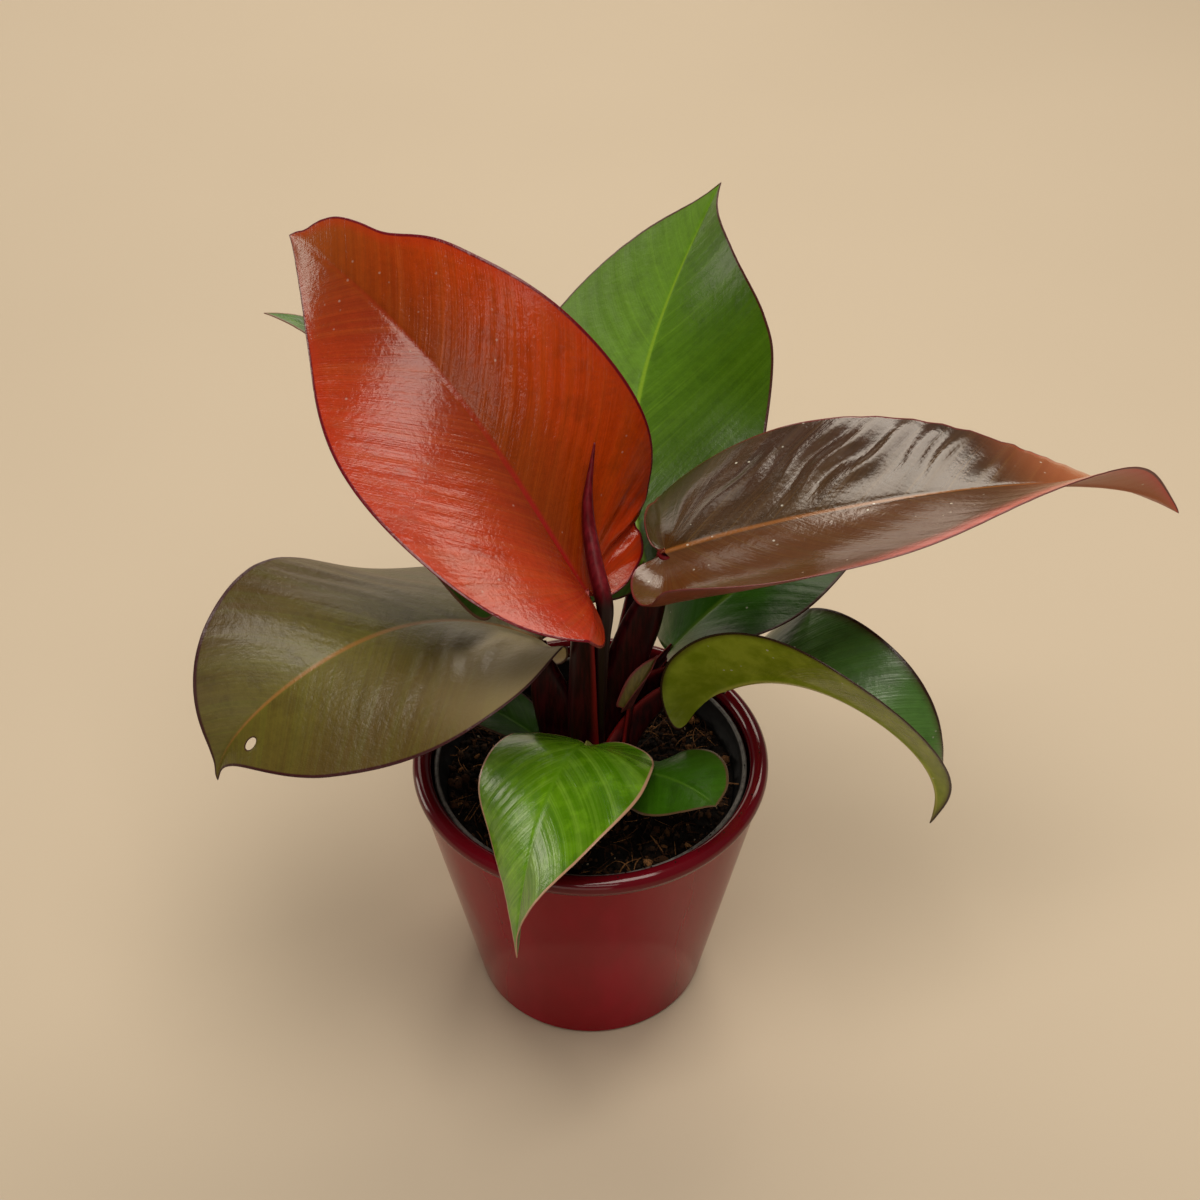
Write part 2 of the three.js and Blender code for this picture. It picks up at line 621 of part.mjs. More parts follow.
function addPart(name, solid, colour, roughness, metalness = 0) {
  const material = new THREE.MeshStandardMaterial({ color: colour, roughness, metalness });
  const mesh = new THREE.Mesh(geometryOf(solid), material);
  mesh.name = name;
  plant.add(mesh);
}

addPart('cover_pot', coverPot(), 0x6b1220, 0.25);
addPart('nursery_pot', nurseryPot(), 0x17171a, 0.45);
addPart('potting_mix', pottingMix(), 0x1c130f, 0.95);
addPart('stem_and_petioles', stemWithPetioles(), 0x35080c, 0.4);
for (const [name, leaf] of Object.entries(LEAVES)) {
  addPart(`blade_${name}`, blade(leaf), leaf.colour, 0.35);
}
addPart('rolled_new_leaf', newLeaf(), 0x7a0f1e, 0.35);
addPart('bud_sheath', blade(BUD_SHEATH), BUD_SHEATH.colour, 0.5);

export default plant;
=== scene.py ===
"""Potted cherry red philodendron: the finished surfaces of the plant and its two pots.

Metres, +Z up, -Y towards the front. Named sizes are in millimetres unless they say otherwise, and each mesh is
turned to metres when it is made. Every piece stands still with the pot.
"""

import math
from functools import partial

import bpy
import numpy as np
from mathutils import Matrix, Vector


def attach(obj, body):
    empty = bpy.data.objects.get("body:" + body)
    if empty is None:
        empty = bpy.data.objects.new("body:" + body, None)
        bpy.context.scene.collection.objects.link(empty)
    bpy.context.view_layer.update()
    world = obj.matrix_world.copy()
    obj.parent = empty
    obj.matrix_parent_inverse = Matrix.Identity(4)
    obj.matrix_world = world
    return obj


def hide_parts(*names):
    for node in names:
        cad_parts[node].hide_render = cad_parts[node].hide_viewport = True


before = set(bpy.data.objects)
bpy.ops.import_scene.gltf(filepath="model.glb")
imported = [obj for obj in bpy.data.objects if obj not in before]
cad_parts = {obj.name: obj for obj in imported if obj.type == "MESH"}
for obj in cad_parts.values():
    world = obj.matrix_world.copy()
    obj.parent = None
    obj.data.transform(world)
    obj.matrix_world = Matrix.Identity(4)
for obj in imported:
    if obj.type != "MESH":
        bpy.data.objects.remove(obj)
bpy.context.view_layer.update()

MM = 0.001
BODY = "root"

# Camera: found from the ellipses of the pot's rim and foot, in an image of 1200 by 1200 pixels
IMAGE_SIDE = 1200
CAMERA_DISTANCE = 775
CAMERA_ELEVATION = 45.5
FOCAL_PIXELS = 2000
POT_AXIS_PIXEL = (586.5, 775.5)
RIM_CENTRE_HEIGHT = 100
SENSOR = 36

# Cover pot, nursery pot and potting mix
POT_HEIGHT = 113
POT_BASE_RADIUS = 46
POT_RIM_RADIUS = 68
RIM_ROLL = 3.5
POT_WALL = 3.2
POT_FLOOR = 5
FOOT_ROUND = 2
GAP = 0.3
NURSERY_RIM_RADIUS = 60
NURSERY_RIM_TOP = 108.5
NURSERY_RIM_BAND = 9
NURSERY_BASE_RADIUS = 40
NURSERY_SHOULDER = 3
NURSERY_WALL = 1.2
DRAIN_HOLES = 8
DRAIN_HOLE_RADIUS = 4
DRAIN_CIRCLE_RADIUS = 28
SOIL_LEVEL = 98
SOIL_RELIEF = 1.1
SOIL_EDGE_RADIUS = 56
SOIL_EDGE_FADE = 6
STEM_RADIUS = 12.4
STEM_BOTTOM = 60
STEM_TOP = 112
PETIOLE_FOOT = 101
NECK_START = 0.6
LIP_SHARE = 0.16
SCATTER_RADII = (15, 54)

BLADE_THICKNESS = 0.8
EDGE_FADE = 5
KEEL_DEPTH = 1.5
KEEL_REACH = 2.6
GROOVE_DEPTH = 0.25
GROOVE_REACH = 1.1
VALLEY_DEPTH = 0.08
VALLEY_SPACING = 11
BIG_LEAF = 90
RIB_STEPS = 400
LOBE_SHARE = 0.25
LAST_RULING = 0.98
RULING_SPREAD = 1.1
# Blades, and the bud sheath. joint: where the petiole meets it. heading, rise: compass and climbing angles of
# the midrib at four stations from joint to tip. roll: the blade's turn about it there. width: half widths left
# and right of it. lobe: how far each basal lobe reaches back. belly: where the blade is widest, as a share of
# its length. full, tail: what fattens the outline's middle and end. swell: height of soft waves. lift, curl,
# ear: angles that fold each half up, bend it towards its margin and bend up its lobe. dents: half (0 left,
# 1 right), place and reach as shares of the length, and height as a share of the half width.
LEAF_KEYS = ("joint", "length", "heading", "rise", "roll", "width", "lobe", "belly", "full", "tail", "swell",
             "lift", "curl", "ear", "dents")
LEAF_ROWS = {
    "orange": (
        (-2, -3, 196), 179, (152, 140, 146, 122), (55, 59, 25, -11), (-25, 19, 24, 52), (57, 53), (9, 11),
        0.14, 0.02, 0.1, 0.7, ((20, 7, -22), (17, 26, -5)), ((-24, -3, 16), (10, 22, -10)), (-3, 56),
        ((1, 0.785, 0.05, -0.052), (1, 0.905, 0.04, 0.028), (1, 0.965, 0.02, -0.035), (1, 0.69, 0.05, 0.015))),
    "back_green": (
        (20, 37, 176), 164, (104, 81, 66, 45), (28, 21, 34, 52), (0, 7, 15, 26), (51, 54), (14, 14),
        0.46, 0.06, 0.04, 0.8, ((8, -1, 8), (11, 2, 20)), ((-4, -8, -8), (0, -6, -9)), (10, 10)),
    "bronze_right": (
        (27, 10, 203), 216, (5, 3, 18, 29), (19, 4, 1, -47), (-7, -10, 18, 48), (53, 55), (7, 15),
        0.05, -0.04, -0.01, 0.8, ((-14, 27, 9), (-18, 11, 37)), ((-17, 9, 6), (100, -22, 20)), (87, 50)),
    "bronze_left": (
        (-19, 7, 164), 152, (173, 235, 225, 171), (26, 28, -16, -82), (-16, -10, 27, 52), (55, 53), (8, 6),
        0.06, 0.14, -0.01, 0.9, ((21, -18, 26), (20, -25, 53)), ((11, -32, 11), (-23, -41, 40)), (-72, 28)),
    "back_left": (
        (-30, 17, 191), 130, (144, 143, 140, 167), (55, 52, 36, 5), (0, -4, -8, -12), (40, 40), (8, 8),
        0.30, -0.20, -0.02, 0.6, ((14, 12, 14), (26, 10, 8)), ((0, 0, 4), (0, 0, 4)), (10, 20)),
    "folded_right": (
        (51, 6, 141), 122, (-22, -50, -26, 12), (41, 11, -34, -107), (27, 13, 8, 17), (32, 31), (8, 27),
        0.18, -0.11, -0.03, 0.4, ((30, 69, 23), (34, 57, 37)), ((-22, 38, -10), (14, 16, -23)), (10, -60)),
    "low_right": (
        (32, 24, 145), 98, (30, 30, 28, 36), (37, 30, 1, -32), (16, -7, -10, -9), (30, 29), (6, 4),
        0.22, 0.02, -0.01, 0.4, ((-4, 10, 8), (25, -6, 9)), ((-19, 0, 0), (6, -15, 6)), (-100, 20)),
    "front": (
        (-2, -18, 134), 95, (-115, -110, -112, -93), (45, -25, -55, -52), (0, -7, -37, -66), (32, 34), (16, 9),
        0.29, -0.04, 0.01, 0.3, ((8, -11, 35), (-3, -10, 2)), ((-16, -33, 7), (-12, -10, -21)), (27, 18)),
    "small_right": (
        (17, -15, 117), 53, (-41, -44, -58, -77), (32, 18, 18, 30), (8, -10, -12, -12), (18, 19), (9, 9),
        0.35, 0.03, 0.02, 0.2, ((-5, 14, -3), (2, 0, -4)), ((-10, 7, -6), (-10, -8, 0)), (10, 10)),
    "small_left": (
        (-22, 4, 118), 42, (161, 164, 168, 172), (36, 23, 10, -2), (-8, -5, -1, 2), (14, 14), (5, 5),
        0.28, 0, 0, 0.2, ((16, 9, 8), (12, 8, 8)), ((4, 0, 0), (0, 0, 0)), (10, 10)),
    "sheath": (
        (13.5, 0, 136), 24, (25, 30, 34, 36), (58, 60, 56, 50), (0, 0, 0, 0), (5, 5), (1, 1),
        0.35, 0.02, 0.02, 0.1, ((48, 40, 20), (48, 40, 20)), ((20, 20, 10), (20, 20, 10)), (0, 0)),
}
LEAVES = {name: dict(zip(LEAF_KEYS, row)) for name, row in LEAF_ROWS.items()}
# Which way the left and the right half of a blade lie from its midrib
HALVES = (1, -1)

# Gentle folds pressed into a blade along its side veins: half (0 left, 1 right), place along and out from the
# midrib, reach both ways, height, distance from fold to fold
FOLDS = {
    "orange": [(1, 70, 26, 38, 13, 0.35, 7), (1, 66, 22, 42, 16, 0.1, 3.1), (1, 4, 36, 14, 14, 1.1, 11),
               (1, 6, 40, 12, 9, 0.4, 4.3), (0, 60, 34, 50, 16, 0.09, 9)],
    "bronze_right": [(0, 74, 26, 60, 15, 0.8, 18), (0, 130, 18, 34, 12, 0.4, 11), (0, 60, 24, 60, 14, 0.15, 8)],
    "bronze_left": [(1, 60, 34, 40, 12, 0.5, 16), (0, 40, 26, 30, 12, 0.5, 18)],
    "back_green": [(0, 110, 24, 40, 14, 0.1, 13), (1, 70, 26, 40, 14, 0.1, 15)],
    "folded_right": [(0, 50, 16, 30, 8, 0.12, 8)],
    "front": [(0, 30, 20, 20, 8, 0.05, 8), (1, 40, 16, 18, 8, 0.08, 6)],
    "low_right": [(1, 40, 14, 24, 8, 0.1, 9)],
}
# A hole in one leaf's left half: its centre along and out from the midrib, and half its length and width
HOLE_LEAF = "bronze_left"
HOLE_CENTRE = (125.3, 6.9)
HOLE_SIZE = (3.0, 1.9)
HOLE_EDGE = 0.7

# Petioles: foot on the stem, handles at both ends, half width of the sheathing base, height of its edges, and
# half width of the top. What differs from the usual: fade, how fast the sheath narrows; thick, depth of its
# back; neck, how much it narrows before the joint; face, where its back looks; blush, its red near the joint.
PETIOLES = {
    "orange": ((-4, -3), (-1, 0, 35), (-1, 1, -30), 8, 8, 3.4, dict(fade=0.5, face=(-1, 0), blush=1)),
    "back_green": ((7, 1), (1, -4, 40), (-4, -22, -22), 8, 3, 4, dict(fade=0.8)),
    "bronze_right": ((6, 4), (-2, 3, 40), (-4, 2, -34), 9, 3, 7.4, dict(
        fade=1, thick=3.4, neck=0.6, face=(0.2, -1), blush=0.5)),
    "bronze_left": ((-6, 0), (-5, -1, 22), (5, -3, -26), 11, 3, 8.4, dict(
        fade=1, thick=3.4, neck=0.6, face=(-0.5, -1))),
    "back_left": ((-2, 7), (2, 1, 50), (30, -9, 1), 6, 2, 2.4, {}),
    "folded_right": ((9, 0), (2, 2, 24), (-21, 15, 2), 8, 10, 3.4, dict(fade=0.5, thick=3.8, neck=0.6)),
    "low_right": ((8, 5), (3, 5, 20), (-12, -6, -12), 5, 2, 2.2, {}),
    "front": ((-1, -8), (0, -3, 14), (1, 3, -12), 5, 2, 2.2, dict(blush=0.4)),
    "small_right": ((7, -7), (1, -1, 6), (-3, 1, -5), 4, 1, 1.6, {}),
    "small_left": ((-9, -3), (-1, 0, 7), (3, -1, -5), 4, 1, 1.6, {}),
}
# Right half of a petiole's section, from the middle of its back round an edge to its groove: shares of the half
# width to the side, and of the back's depth and the edge's height inwards
PETIOLE_SECTION = [(0, -1, 0), (0.44, -0.92, 0), (0.82, -0.6, 0), (1, 0, 0), (0.95, 0, 0.6), (0.84, 0, 1),
                   (0.74, 0, 0.86), (0.6, -0.1, 0.35), (0.3, -0.28, 0), (0, -0.34, 0)]
NEW_LEAF_PATH = [
    (3, -4, 107), (3.5, -4.5, 140), (4.5, -5.5, 172), (5.6, -5.5, 188), (4.5, -4, 196),
    (2, 2.5, 204), (-0.1, 11, 213.6), (-0.6, 14, 222.4), (0, 17, 229.5), (1.9, 21, 243),
]
NEW_LEAF_RADII = [2.6, 2.6, 2.9, 3.2, 3.3, 3.1, 2.6, 2.1, 1.4, 0.4]


def linear(colour):
    """Linear RGBA of an sRGB hex colour."""
    values = [int(colour[i:i + 2], 16) / 255 for i in (1, 3, 5)]
    return [v / 12.92 if v <= 0.04045 else ((v + 0.055) / 1.055) ** 2.4 for v in values] + [1.0]


def smoothstep(low, high, x):
    """0 below low, 1 above high, and an S curve between."""
    t = np.clip((x - low) / (high - low), 0, 1)
    return t * t * (3 - 2 * t)


def unit(vectors):
    """Vectors scaled to length 1."""
    return vectors / np.maximum(np.linalg.norm(vectors, axis=-1, keepdims=True), 1e-9)


def bernstein(values, s):
    """Polynomial through control values at s from 0 to 1, found by blending neighbours until one is left."""
    points = [np.full(np.shape(s), float(value)) for value in values]
    while len(points) > 1:
        points = [a * (1 - s) + b * s for a, b in zip(points, points[1:])]
    return points[0]


def between(a, b, c, d, f):
    """Catmull-Rom curve between b and c at f from 0 to 1, with neighbours a and d."""
    return 0.5 * (2 * b + (c - a) * f + (2 * a - 5 * b + 4 * c - d) * f**2 + (3 * b - a - 3 * c + d) * f**3)


def smooth_curve(points, t):
    """Catmull-Rom curve through the points, at t from 0 to 1, with its ends carried straight on."""
    points = np.asarray(points, float)
    last = len(points) - 1
    padded = np.vstack([2 * points[0] - points[1], points, 2 * points[-1] - points[-2]])
    k = np.minimum((t * last).astype(int), last - 1)
    return between(*(padded[k + i] for i in range(4)), (t * last - k)[..., None])


def swells(x, y, seed, size):
    """Soft hills about size mm apart: a third of the sum of six sine waves in seeded directions."""
    rng = np.random.default_rng(seed)
    total = np.zeros(np.shape(x))
    for angle, stretch, phase in rng.uniform((0, 0.7, 0), (np.pi, 1.4, 2 * np.pi), (6, 3)):
        total += np.sin(2 * np.pi * stretch / size * (x * np.cos(angle) + y * np.sin(angle)) + phase)
    return total / 3


def lattice_noise(x, y, seed, size):
    """Value noise from 0 to 1: seeded values on a square lattice, size mm apart, joined by smooth steps."""
    table = np.random.default_rng(seed).random((256, 256))
    gx, gy = x / size + 64, y / size + 64
    ix, iy = np.floor(gx).astype(int), np.floor(gy).astype(int)
    fx, fy = smoothstep(0, 1, gx - ix), smoothstep(0, 1, gy - iy)
    rows = [table[ix % 256, j % 256] * (1 - fx) + table[(ix + 1) % 256, j % 256] * fx for j in (iy, iy + 1)]
    return rows[0] * (1 - fy) + rows[1] * fy


def new_mesh(name, places, faces, values=None):
    """A smooth-shaded mesh object from points in mm and triangles or quads, with one number per point for each
    named attribute."""
    mesh = bpy.data.meshes.new(name)
    sides = faces.shape[1]
    mesh.vertices.add(len(places))
    mesh.vertices.foreach_set("co", (places * MM).astype(np.float32).ravel())
    mesh.loops.add(faces.size)
    mesh.loops.foreach_set("vertex_index", faces.astype(np.int32).ravel())
    mesh.polygons.add(len(faces))
    mesh.polygons.foreach_set("loop_start", np.arange(0, faces.size, sides, dtype=np.int32))
    mesh.polygons.foreach_set("use_smooth", np.ones(len(faces), bool))
    for key, numbers in (values or {}).items():
        attribute = mesh.attributes.new(key, "FLOAT", "POINT")
        attribute.data.foreach_set("value", np.asarray(numbers, np.float32))
    mesh.update(calc_edges=True)
    mesh.validate()
    piece = bpy.data.objects.new(name, mesh)
    bpy.context.scene.collection.objects.link(piece)
    return piece


def finish_piece(piece, slot, material, *nodes):
    """Gives a piece its material and its body, and hides the imported nodes that it replaces. Its slot is not
    used.
    """
    piece.data.materials.append(material)
    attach(piece, BODY)
    if nodes:
        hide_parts(*nodes)


def grid_faces(rows, columns, closed=False):
    """Quads of a grid of rows by columns points, whose last column joins the first if it is closed."""
    i, j = np.meshgrid(np.arange(rows - 1), np.arange(columns if closed else columns - 1), indexing="ij")
    here, beside = i * columns + j, i * columns + (j + 1) % columns
    return np.stack([here, beside, beside + columns, here + columns], -1).reshape(-1, 4)


def triangles_of(quads, places=None):
    """Each quad cut into two triangles, along its shorter diagonal where its corners' places are given."""
    if places is not None:
        a, b, c, d = (places[quads[:, k]] for k in range(4))
        turn = np.linalg.norm(b - d, axis=1) < np.linalg.norm(a - c, axis=1)
        quads = np.where(turn[:, None], np.roll(quads, -1, 1), quads)
    return np.concatenate([quads[:, [0, 1, 2]], quads[:, [0, 2, 3]]])


def merged(places, faces):
    """One copy of points within a thousandth of a mm, the triangles that still have three corners, and which
    points are kept."""
    _, first, index = np.unique(np.round(places * 1000).astype(np.int64), axis=0, return_index=True,
                                return_inverse=True)
    faces = index.reshape(-1)[faces]
    whole = (faces != np.roll(faces, -1, 1)).all(1)
    return places[first], faces[whole], first


def point_normals(places, faces):
    """Unit normals at the points: the area-weighted sum of the faces round each."""
    a, b, c = (places[faces[:, k]] for k in range(3))
    normal = np.cross(b - a, c - a)
    total = np.zeros_like(places)
    for k in range(3):
        np.add.at(total, faces[:, k], normal)
    return unit(total)


def rib_direction(leaf, s):
    """Unit direction of the midrib at s, from its heading and rise."""
    heading, rise = (np.radians(bernstein(leaf[key], s)) for key in ("heading", "rise"))
    return np.stack([np.cos(rise) * np.cos(heading), np.cos(rise) * np.sin(heading), np.sin(rise)], -1)


def rib_point(leaf, s):
    """Point of the midrib at s: short steps along its direction, added up from the joint."""
    stations = np.linspace(0, 1, RIB_STEPS + 1)
    direction = rib_direction(leaf, stations)
    steps = (direction[1:] + direction[:-1]) / 2 * leaf["length"] / RIB_STEPS
    line = np.vstack([np.zeros(3), np.cumsum(steps, 0)]) + leaf["joint"]
    return np.stack([np.interp(s, stations, line[:, axis]) for axis in range(3)], -1)


def blade_point(leaf, side, u, v):
    """Point at share u of the length and v mm out from the midrib. The half is lifted by an angle and bent to
    an arc of constant curvature. Behind the joint it is carried back along the midrib, tipped by ear."""
    s = np.clip(u, 0, 1)
    along = rib_direction(leaf, s)
    heading, rise, roll = (np.radians(bernstein(leaf[key], s)) for key in ("heading", "rise", "roll"))
    level = np.stack([-np.sin(rise) * np.cos(heading), -np.sin(rise) * np.sin(heading), np.cos(rise)], -1)
    left = np.cross(level, along)
    up = level * np.cos(roll)[..., None] + left * np.sin(roll)[..., None]
    out = np.cross(up, along) * HALVES[side]
    back = np.maximum(-u, 0) * leaf["length"]
    ear = np.radians(leaf["ear"][side]) * back / leaf["lobe"][side] / 2
    lift = np.radians(bernstein(leaf["lift"][side], s))
    bend = np.radians(bernstein(leaf["curl"][side], s)) * v / leaf["width"][side] / 2
    chord = v * np.sinc(bend / np.pi)
    return (rib_point(leaf, s)
            - along * (back * np.cos(ear))[..., None]
            + up * (back * np.sin(ear) + chord * np.sin(lift + bend))[..., None]
            + out * (chord * np.cos(lift + bend))[..., None])


def outline(leaf, side, t):
    """Half outline at t from joint to tip, as share of length (negative in the lobe) and share of half width: a
    smooth curve, with bell-shaped dents and bulges added to its width."""
    lobe = leaf["lobe"][side] / leaf["length"]
    belly, full, tail = leaf["belly"], leaf["full"], leaf["tail"]
    rest = 1 - belly
    points = [
        (0, 0), (-0.8 * lobe, 0.12), (-lobe, 0.40), (-0.45 * lobe, 0.78), (belly, 1),
        (belly + 0.38 * rest, 0.86 + full), (belly + 0.70 * rest, 0.48 + 1.2 * full),
        (belly + 0.90 * rest, 0.12 + tail), (1, 0),
    ]
    curve = smooth_curve(points, t)
    place, width = curve[..., 0], curve[..., 1]
    for half, centre, reach, depth in leaf.get("dents", ()):
        if half == side:
            width = width + depth * np.exp(-((place - centre) / reach) ** 2) * smoothstep(1, 0.95, place)
    return place, np.maximum(width, 0)


def vein_place(leaf, side, x, y):
    """Place in mm along the midrib where the side vein through a point leaves it. Veins leave at 48 degrees and
    arch to 35 degrees at the margin. Behind the first they fan out of the joint, at negative places."""
    width = leaf["width"][side]
    slant = 0.9 + 0.25 * y / width
    start = x - y * slant
    turn = np.arctan2(y, x) - np.arctan2(1, slant)
    return np.where(start > 0, start, -0.6 * width * np.maximum(turn, 0))


def blade_relief(name, leaf, side, x, y, vein):
    """Height of the whole blade's relief in mm: shallow valleys along the side veins, folds that run with them
    under a bell-shaped window, and soft swells that grow towards the margin."""
    q = np.clip(y / leaf["width"][side], 0, 1)
    valley = (0.5 + 0.5 * np.cos(2 * np.pi * vein / VALLEY_SPACING)) ** 5
    height = -VALLEY_DEPTH * valley * smoothstep(0, 0.12, q) * (1 - smoothstep(0.75, 1, q))
    for half, along, out, reach_along, reach_out, tall, apart in FOLDS.get(name, []):
        if half == side:
            window = np.exp(-((x - along) / reach_along) ** 2 - ((y - out) / reach_out) ** 2)
            height += tall * window * np.sin(2 * np.pi * vein / apart + 1.4 * swells(x, y, 11, 40))
    waves = swells(x, y, sum(map(ord, name)) + side, 0.35 * leaf["length"])
    return height + leaf["swell"] * waves * smoothstep(0.1, 0.9, q)


def blade(name, rows, columns):
    """Closed blade. Each half is a grid of straight rulings from the midrib to the margin, worked out on the
    unrolled blade and then bent into place. The middle surface is raised by its relief, doubled into an upper
    and a lower skin with a keel under the midrib, and closed by a round edge along every open border."""
    leaf = LEAVES[name]
    halves = []
    t = np.linspace(0, 1, rows + 1)[1:, None]
    w = np.linspace(0, 1, columns + 1)[None, :] ** 0.9
    rib_u = LAST_RULING * np.maximum(0, (t - LOBE_SHARE) / (1 - LOBE_SHARE)) ** RULING_SPREAD
    quads = grid_faces(rows, columns + 1)
    for side, sign in enumerate(HALVES):
        margin_u, margin_v = outline(leaf, side, t)
        margin_v = margin_v * leaf["width"][side]
        u = (rib_u + (margin_u - rib_u) * w).ravel()
        v = (margin_v * w).ravel()
        x = u * leaf["length"]
        vein = vein_place(leaf, side, x, v)
        ruling = np.hypot((margin_u - rib_u) * leaf["length"], margin_v)
        places = blade_point(leaf, side, u, v)
        halves.append((places, triangles_of(quads[:, ::-sign], places), dict(
            along=u, across=v * sign, vein=vein, edge=(ruling * (1 - w)).ravel(),
            height=blade_relief(name, leaf, side, x, v, vein))))
    places, faces, values = joined(halves)
    places, faces, kept = merged(places, faces)
    values = {key: numbers[kept] for key, numbers in values.items()}
    if name == HOLE_LEAF:
        places, faces, values = with_hole(leaf, places, faces, values)
    return skins(name, places, faces, values)


def with_hole(leaf, places, faces, values):
    """Cuts an oval hole: faces with a corner inside it go, and their other corners are drawn onto its rim."""
    away = np.stack([values["along"] * leaf["length"], values["across"]], -1) - HOLE_CENTRE
    away = away / HOLE_SIZE
    far = np.hypot(*away.T)
    cut = (far[faces] <= 1).any(1)
    ring = np.unique(faces[cut])
    ring = ring[far[ring] > 1]
    along, across = (HOLE_CENTRE + away[ring] / far[ring, None] * HOLE_SIZE).T
    places[ring] = blade_point(leaf, 0, along / leaf["length"], across)
    near_hole = np.maximum(far - 1, 0) * HOLE_SIZE[1] + HOLE_EDGE
    near_hole[ring] = HOLE_EDGE
    values["edge"] = np.minimum(values["edge"], near_hole)
    faces = faces[~cut]
    used, index = np.unique(faces, return_inverse=True)
    return places[used], index.reshape(faces.shape), {key: numbers[used] for key, numbers in values.items()}


def skins(name, places, faces, values):
    """Upper and lower skin of a blade and the round edge between them. Each lies half the thickness from the
    middle, less near the margin, with a bell-shaped keel below the midrib and a groove above it."""
    n = len(places)
    normals = point_normals(places, faces)
    directed = np.concatenate([faces[:, [0, 1]], faces[:, [1, 2]], faces[:, [2, 0]]])
    border = directed[~np.isin(directed @ (n, 1), directed @ (1, n))]
    p, q = border.T
    outward = np.zeros_like(places)
    run = unit(places[q] - places[p])
    for end in (p, q):
        np.add.at(outward, end, np.cross(run, normals[end]))
    middle = places + normals * values["height"][:, None]
    half = BLADE_THICKNESS / 2 * (0.55 + 0.45 * smoothstep(0, 6, values["edge"]))
    s = np.clip(values["along"], 0, 1)
    inside = smoothstep(0, EDGE_FADE, values["edge"])
    keel_reach = KEEL_REACH * (1 - 0.75 * s)
    keel = KEEL_DEPTH * (1 - 0.8 * s) * np.exp(-(values["across"] / keel_reach) ** 2) * inside
    groove = GROOVE_DEPTH * np.exp(-(values["across"] / GROOVE_REACH) ** 2) * inside
    upper = middle + normals * (half - groove)[:, None]
    lower = middle - normals * (half + keel)[:, None]
    rim_points, rim_index = np.unique(border, return_inverse=True)
    rim_p, rim_q = 2 * n + rim_index.reshape(border.shape).T
    rim = middle[rim_points] + unit(outward)[rim_points] * half[rim_points, None]
    edge = [np.stack(corners, -1) for corners in (
        (q, p, rim_p), (q, rim_p, rim_q), (rim_q, rim_p, p + n), (rim_q, p + n, q + n))]
    order = np.concatenate([np.arange(n), np.arange(n), rim_points])
    shown = {key: values[key][order] for key in ("along", "across", "vein", "edge")}
    shown["edge"][2 * n:] = 0
    shown["under"] = np.repeat([0, 1, 0.5], [n, n, len(rim_points)])
    return new_mesh(f"leaf_{name}", np.concatenate([upper, lower, rim]),
                    np.concatenate([faces, faces[:, ::-1] + n, *edge]), shown)


def bezier(start, leave, arrive, end, s):
    """Cubic Bezier curve and its unit direction at s."""
    a, d = np.array(start, float), np.array(end, float)
    b, c = a + leave, d + arrive
    s = s[:, None]
    point = a * (1 - s) ** 3 + 3 * b * s * (1 - s) ** 2 + 3 * c * s**2 * (1 - s) + d * s**3
    run = (b - a) * (1 - s) ** 2 + 2 * (c - b) * s * (1 - s) + (d - c) * s**2
    return point, unit(run)


def closed_curve(controls, count):
    """Closed Catmull-Rom curves: controls is (rings, points, 2), and each ring gets count points."""
    points = controls.shape[1]
    t = np.arange(count) * points / count
    k = t.astype(int)
    return between(*(controls[:, (k + i - 1) % points] for i in range(4)), (t - k)[None, :, None])


def swept(rings):
    """Points and triangles of a closed body through rings of points, each end closed by a fan of triangles."""
    count, sides = rings.shape[:2]
    places = np.concatenate([rings.reshape(-1, 3), [rings[0].mean(0)], [rings[-1].mean(0)]])
    j = np.arange(sides)
    k = (j + 1) % sides
    first, last, head = count * sides, count * sides + 1, (count - 1) * sides
    return places, np.concatenate([
        triangles_of(grid_faces(count, sides, closed=True)),
        np.stack([np.full(sides, first), k, j], -1), np.stack([np.full(sides, last), head + j, head + k], -1)])


def petiole(name, rings=70, sides=44):
    """A petiole: a section with a round back, two thin edges and a groove between them, carried along a Bezier
    curve and narrowed by a power of the distance left to the joint."""
    foot, leave, arrive, sheath, edge, slim, other = PETIOLES[name]
    s = np.linspace(0, 1, rings)
    end = LEAVES[name]["joint"]
    point, along = bezier((*foot, PETIOLE_FOOT), leave, arrive, end, s)
    outward = unit(np.array([*other.get("face", end[:2]), 0.0]))
    across = np.array([-outward[1], outward[0], 0])
    side = unit(across - along * (along @ across)[:, None])
    inward = np.cross(along, side)
    clasp = (1 - s) ** other.get("fade", 1.2)
    narrowing = 1 - other.get("neck", 0) * smoothstep(NECK_START, 1, s)
    width = (slim + (sheath - slim) * clasp) * narrowing
    back = other.get("thick", slim) + 1.2 * clasp
    wing = edge * clasp * narrowing + 0.4
    half = np.array(PETIOLE_SECTION)
    mirror = half * (-1, 1, 1)
    x, y, z = np.concatenate([mirror[3:0:-1], half, mirror[8:3:-1]]).T
    flat = closed_curve(np.stack([np.outer(width, x), np.outer(back, y) + np.outer(wing, z)], -1), sides)
    places, faces = swept(point[:, None] + side[:, None] * flat[..., :1] + inward[:, None] * flat[..., 1:])
    return places, faces, {
        "rim": np.append(smoothstep(0.55, 1, flat[..., 1] / wing[:, None]), [0, 0]),
        "blush": other.get("blush", 0.1) * smoothstep(0.8, 1, np.append(np.repeat(s, sides), [0, 1]))}


def turned(profile, segments):
    """Points and triangles of a closed body: a profile of (radius, height) turned about the Z axis."""
    angle = np.arange(segments) * 2 * np.pi / segments
    radius, height = np.asarray(profile, float).T[..., None]
    places = np.stack([radius * np.cos(angle), radius * np.sin(angle), height + 0 * angle], -1).reshape(-1, 3)
    return merged(places, triangles_of(grid_faces(len(profile), segments, closed=True)))[:2]


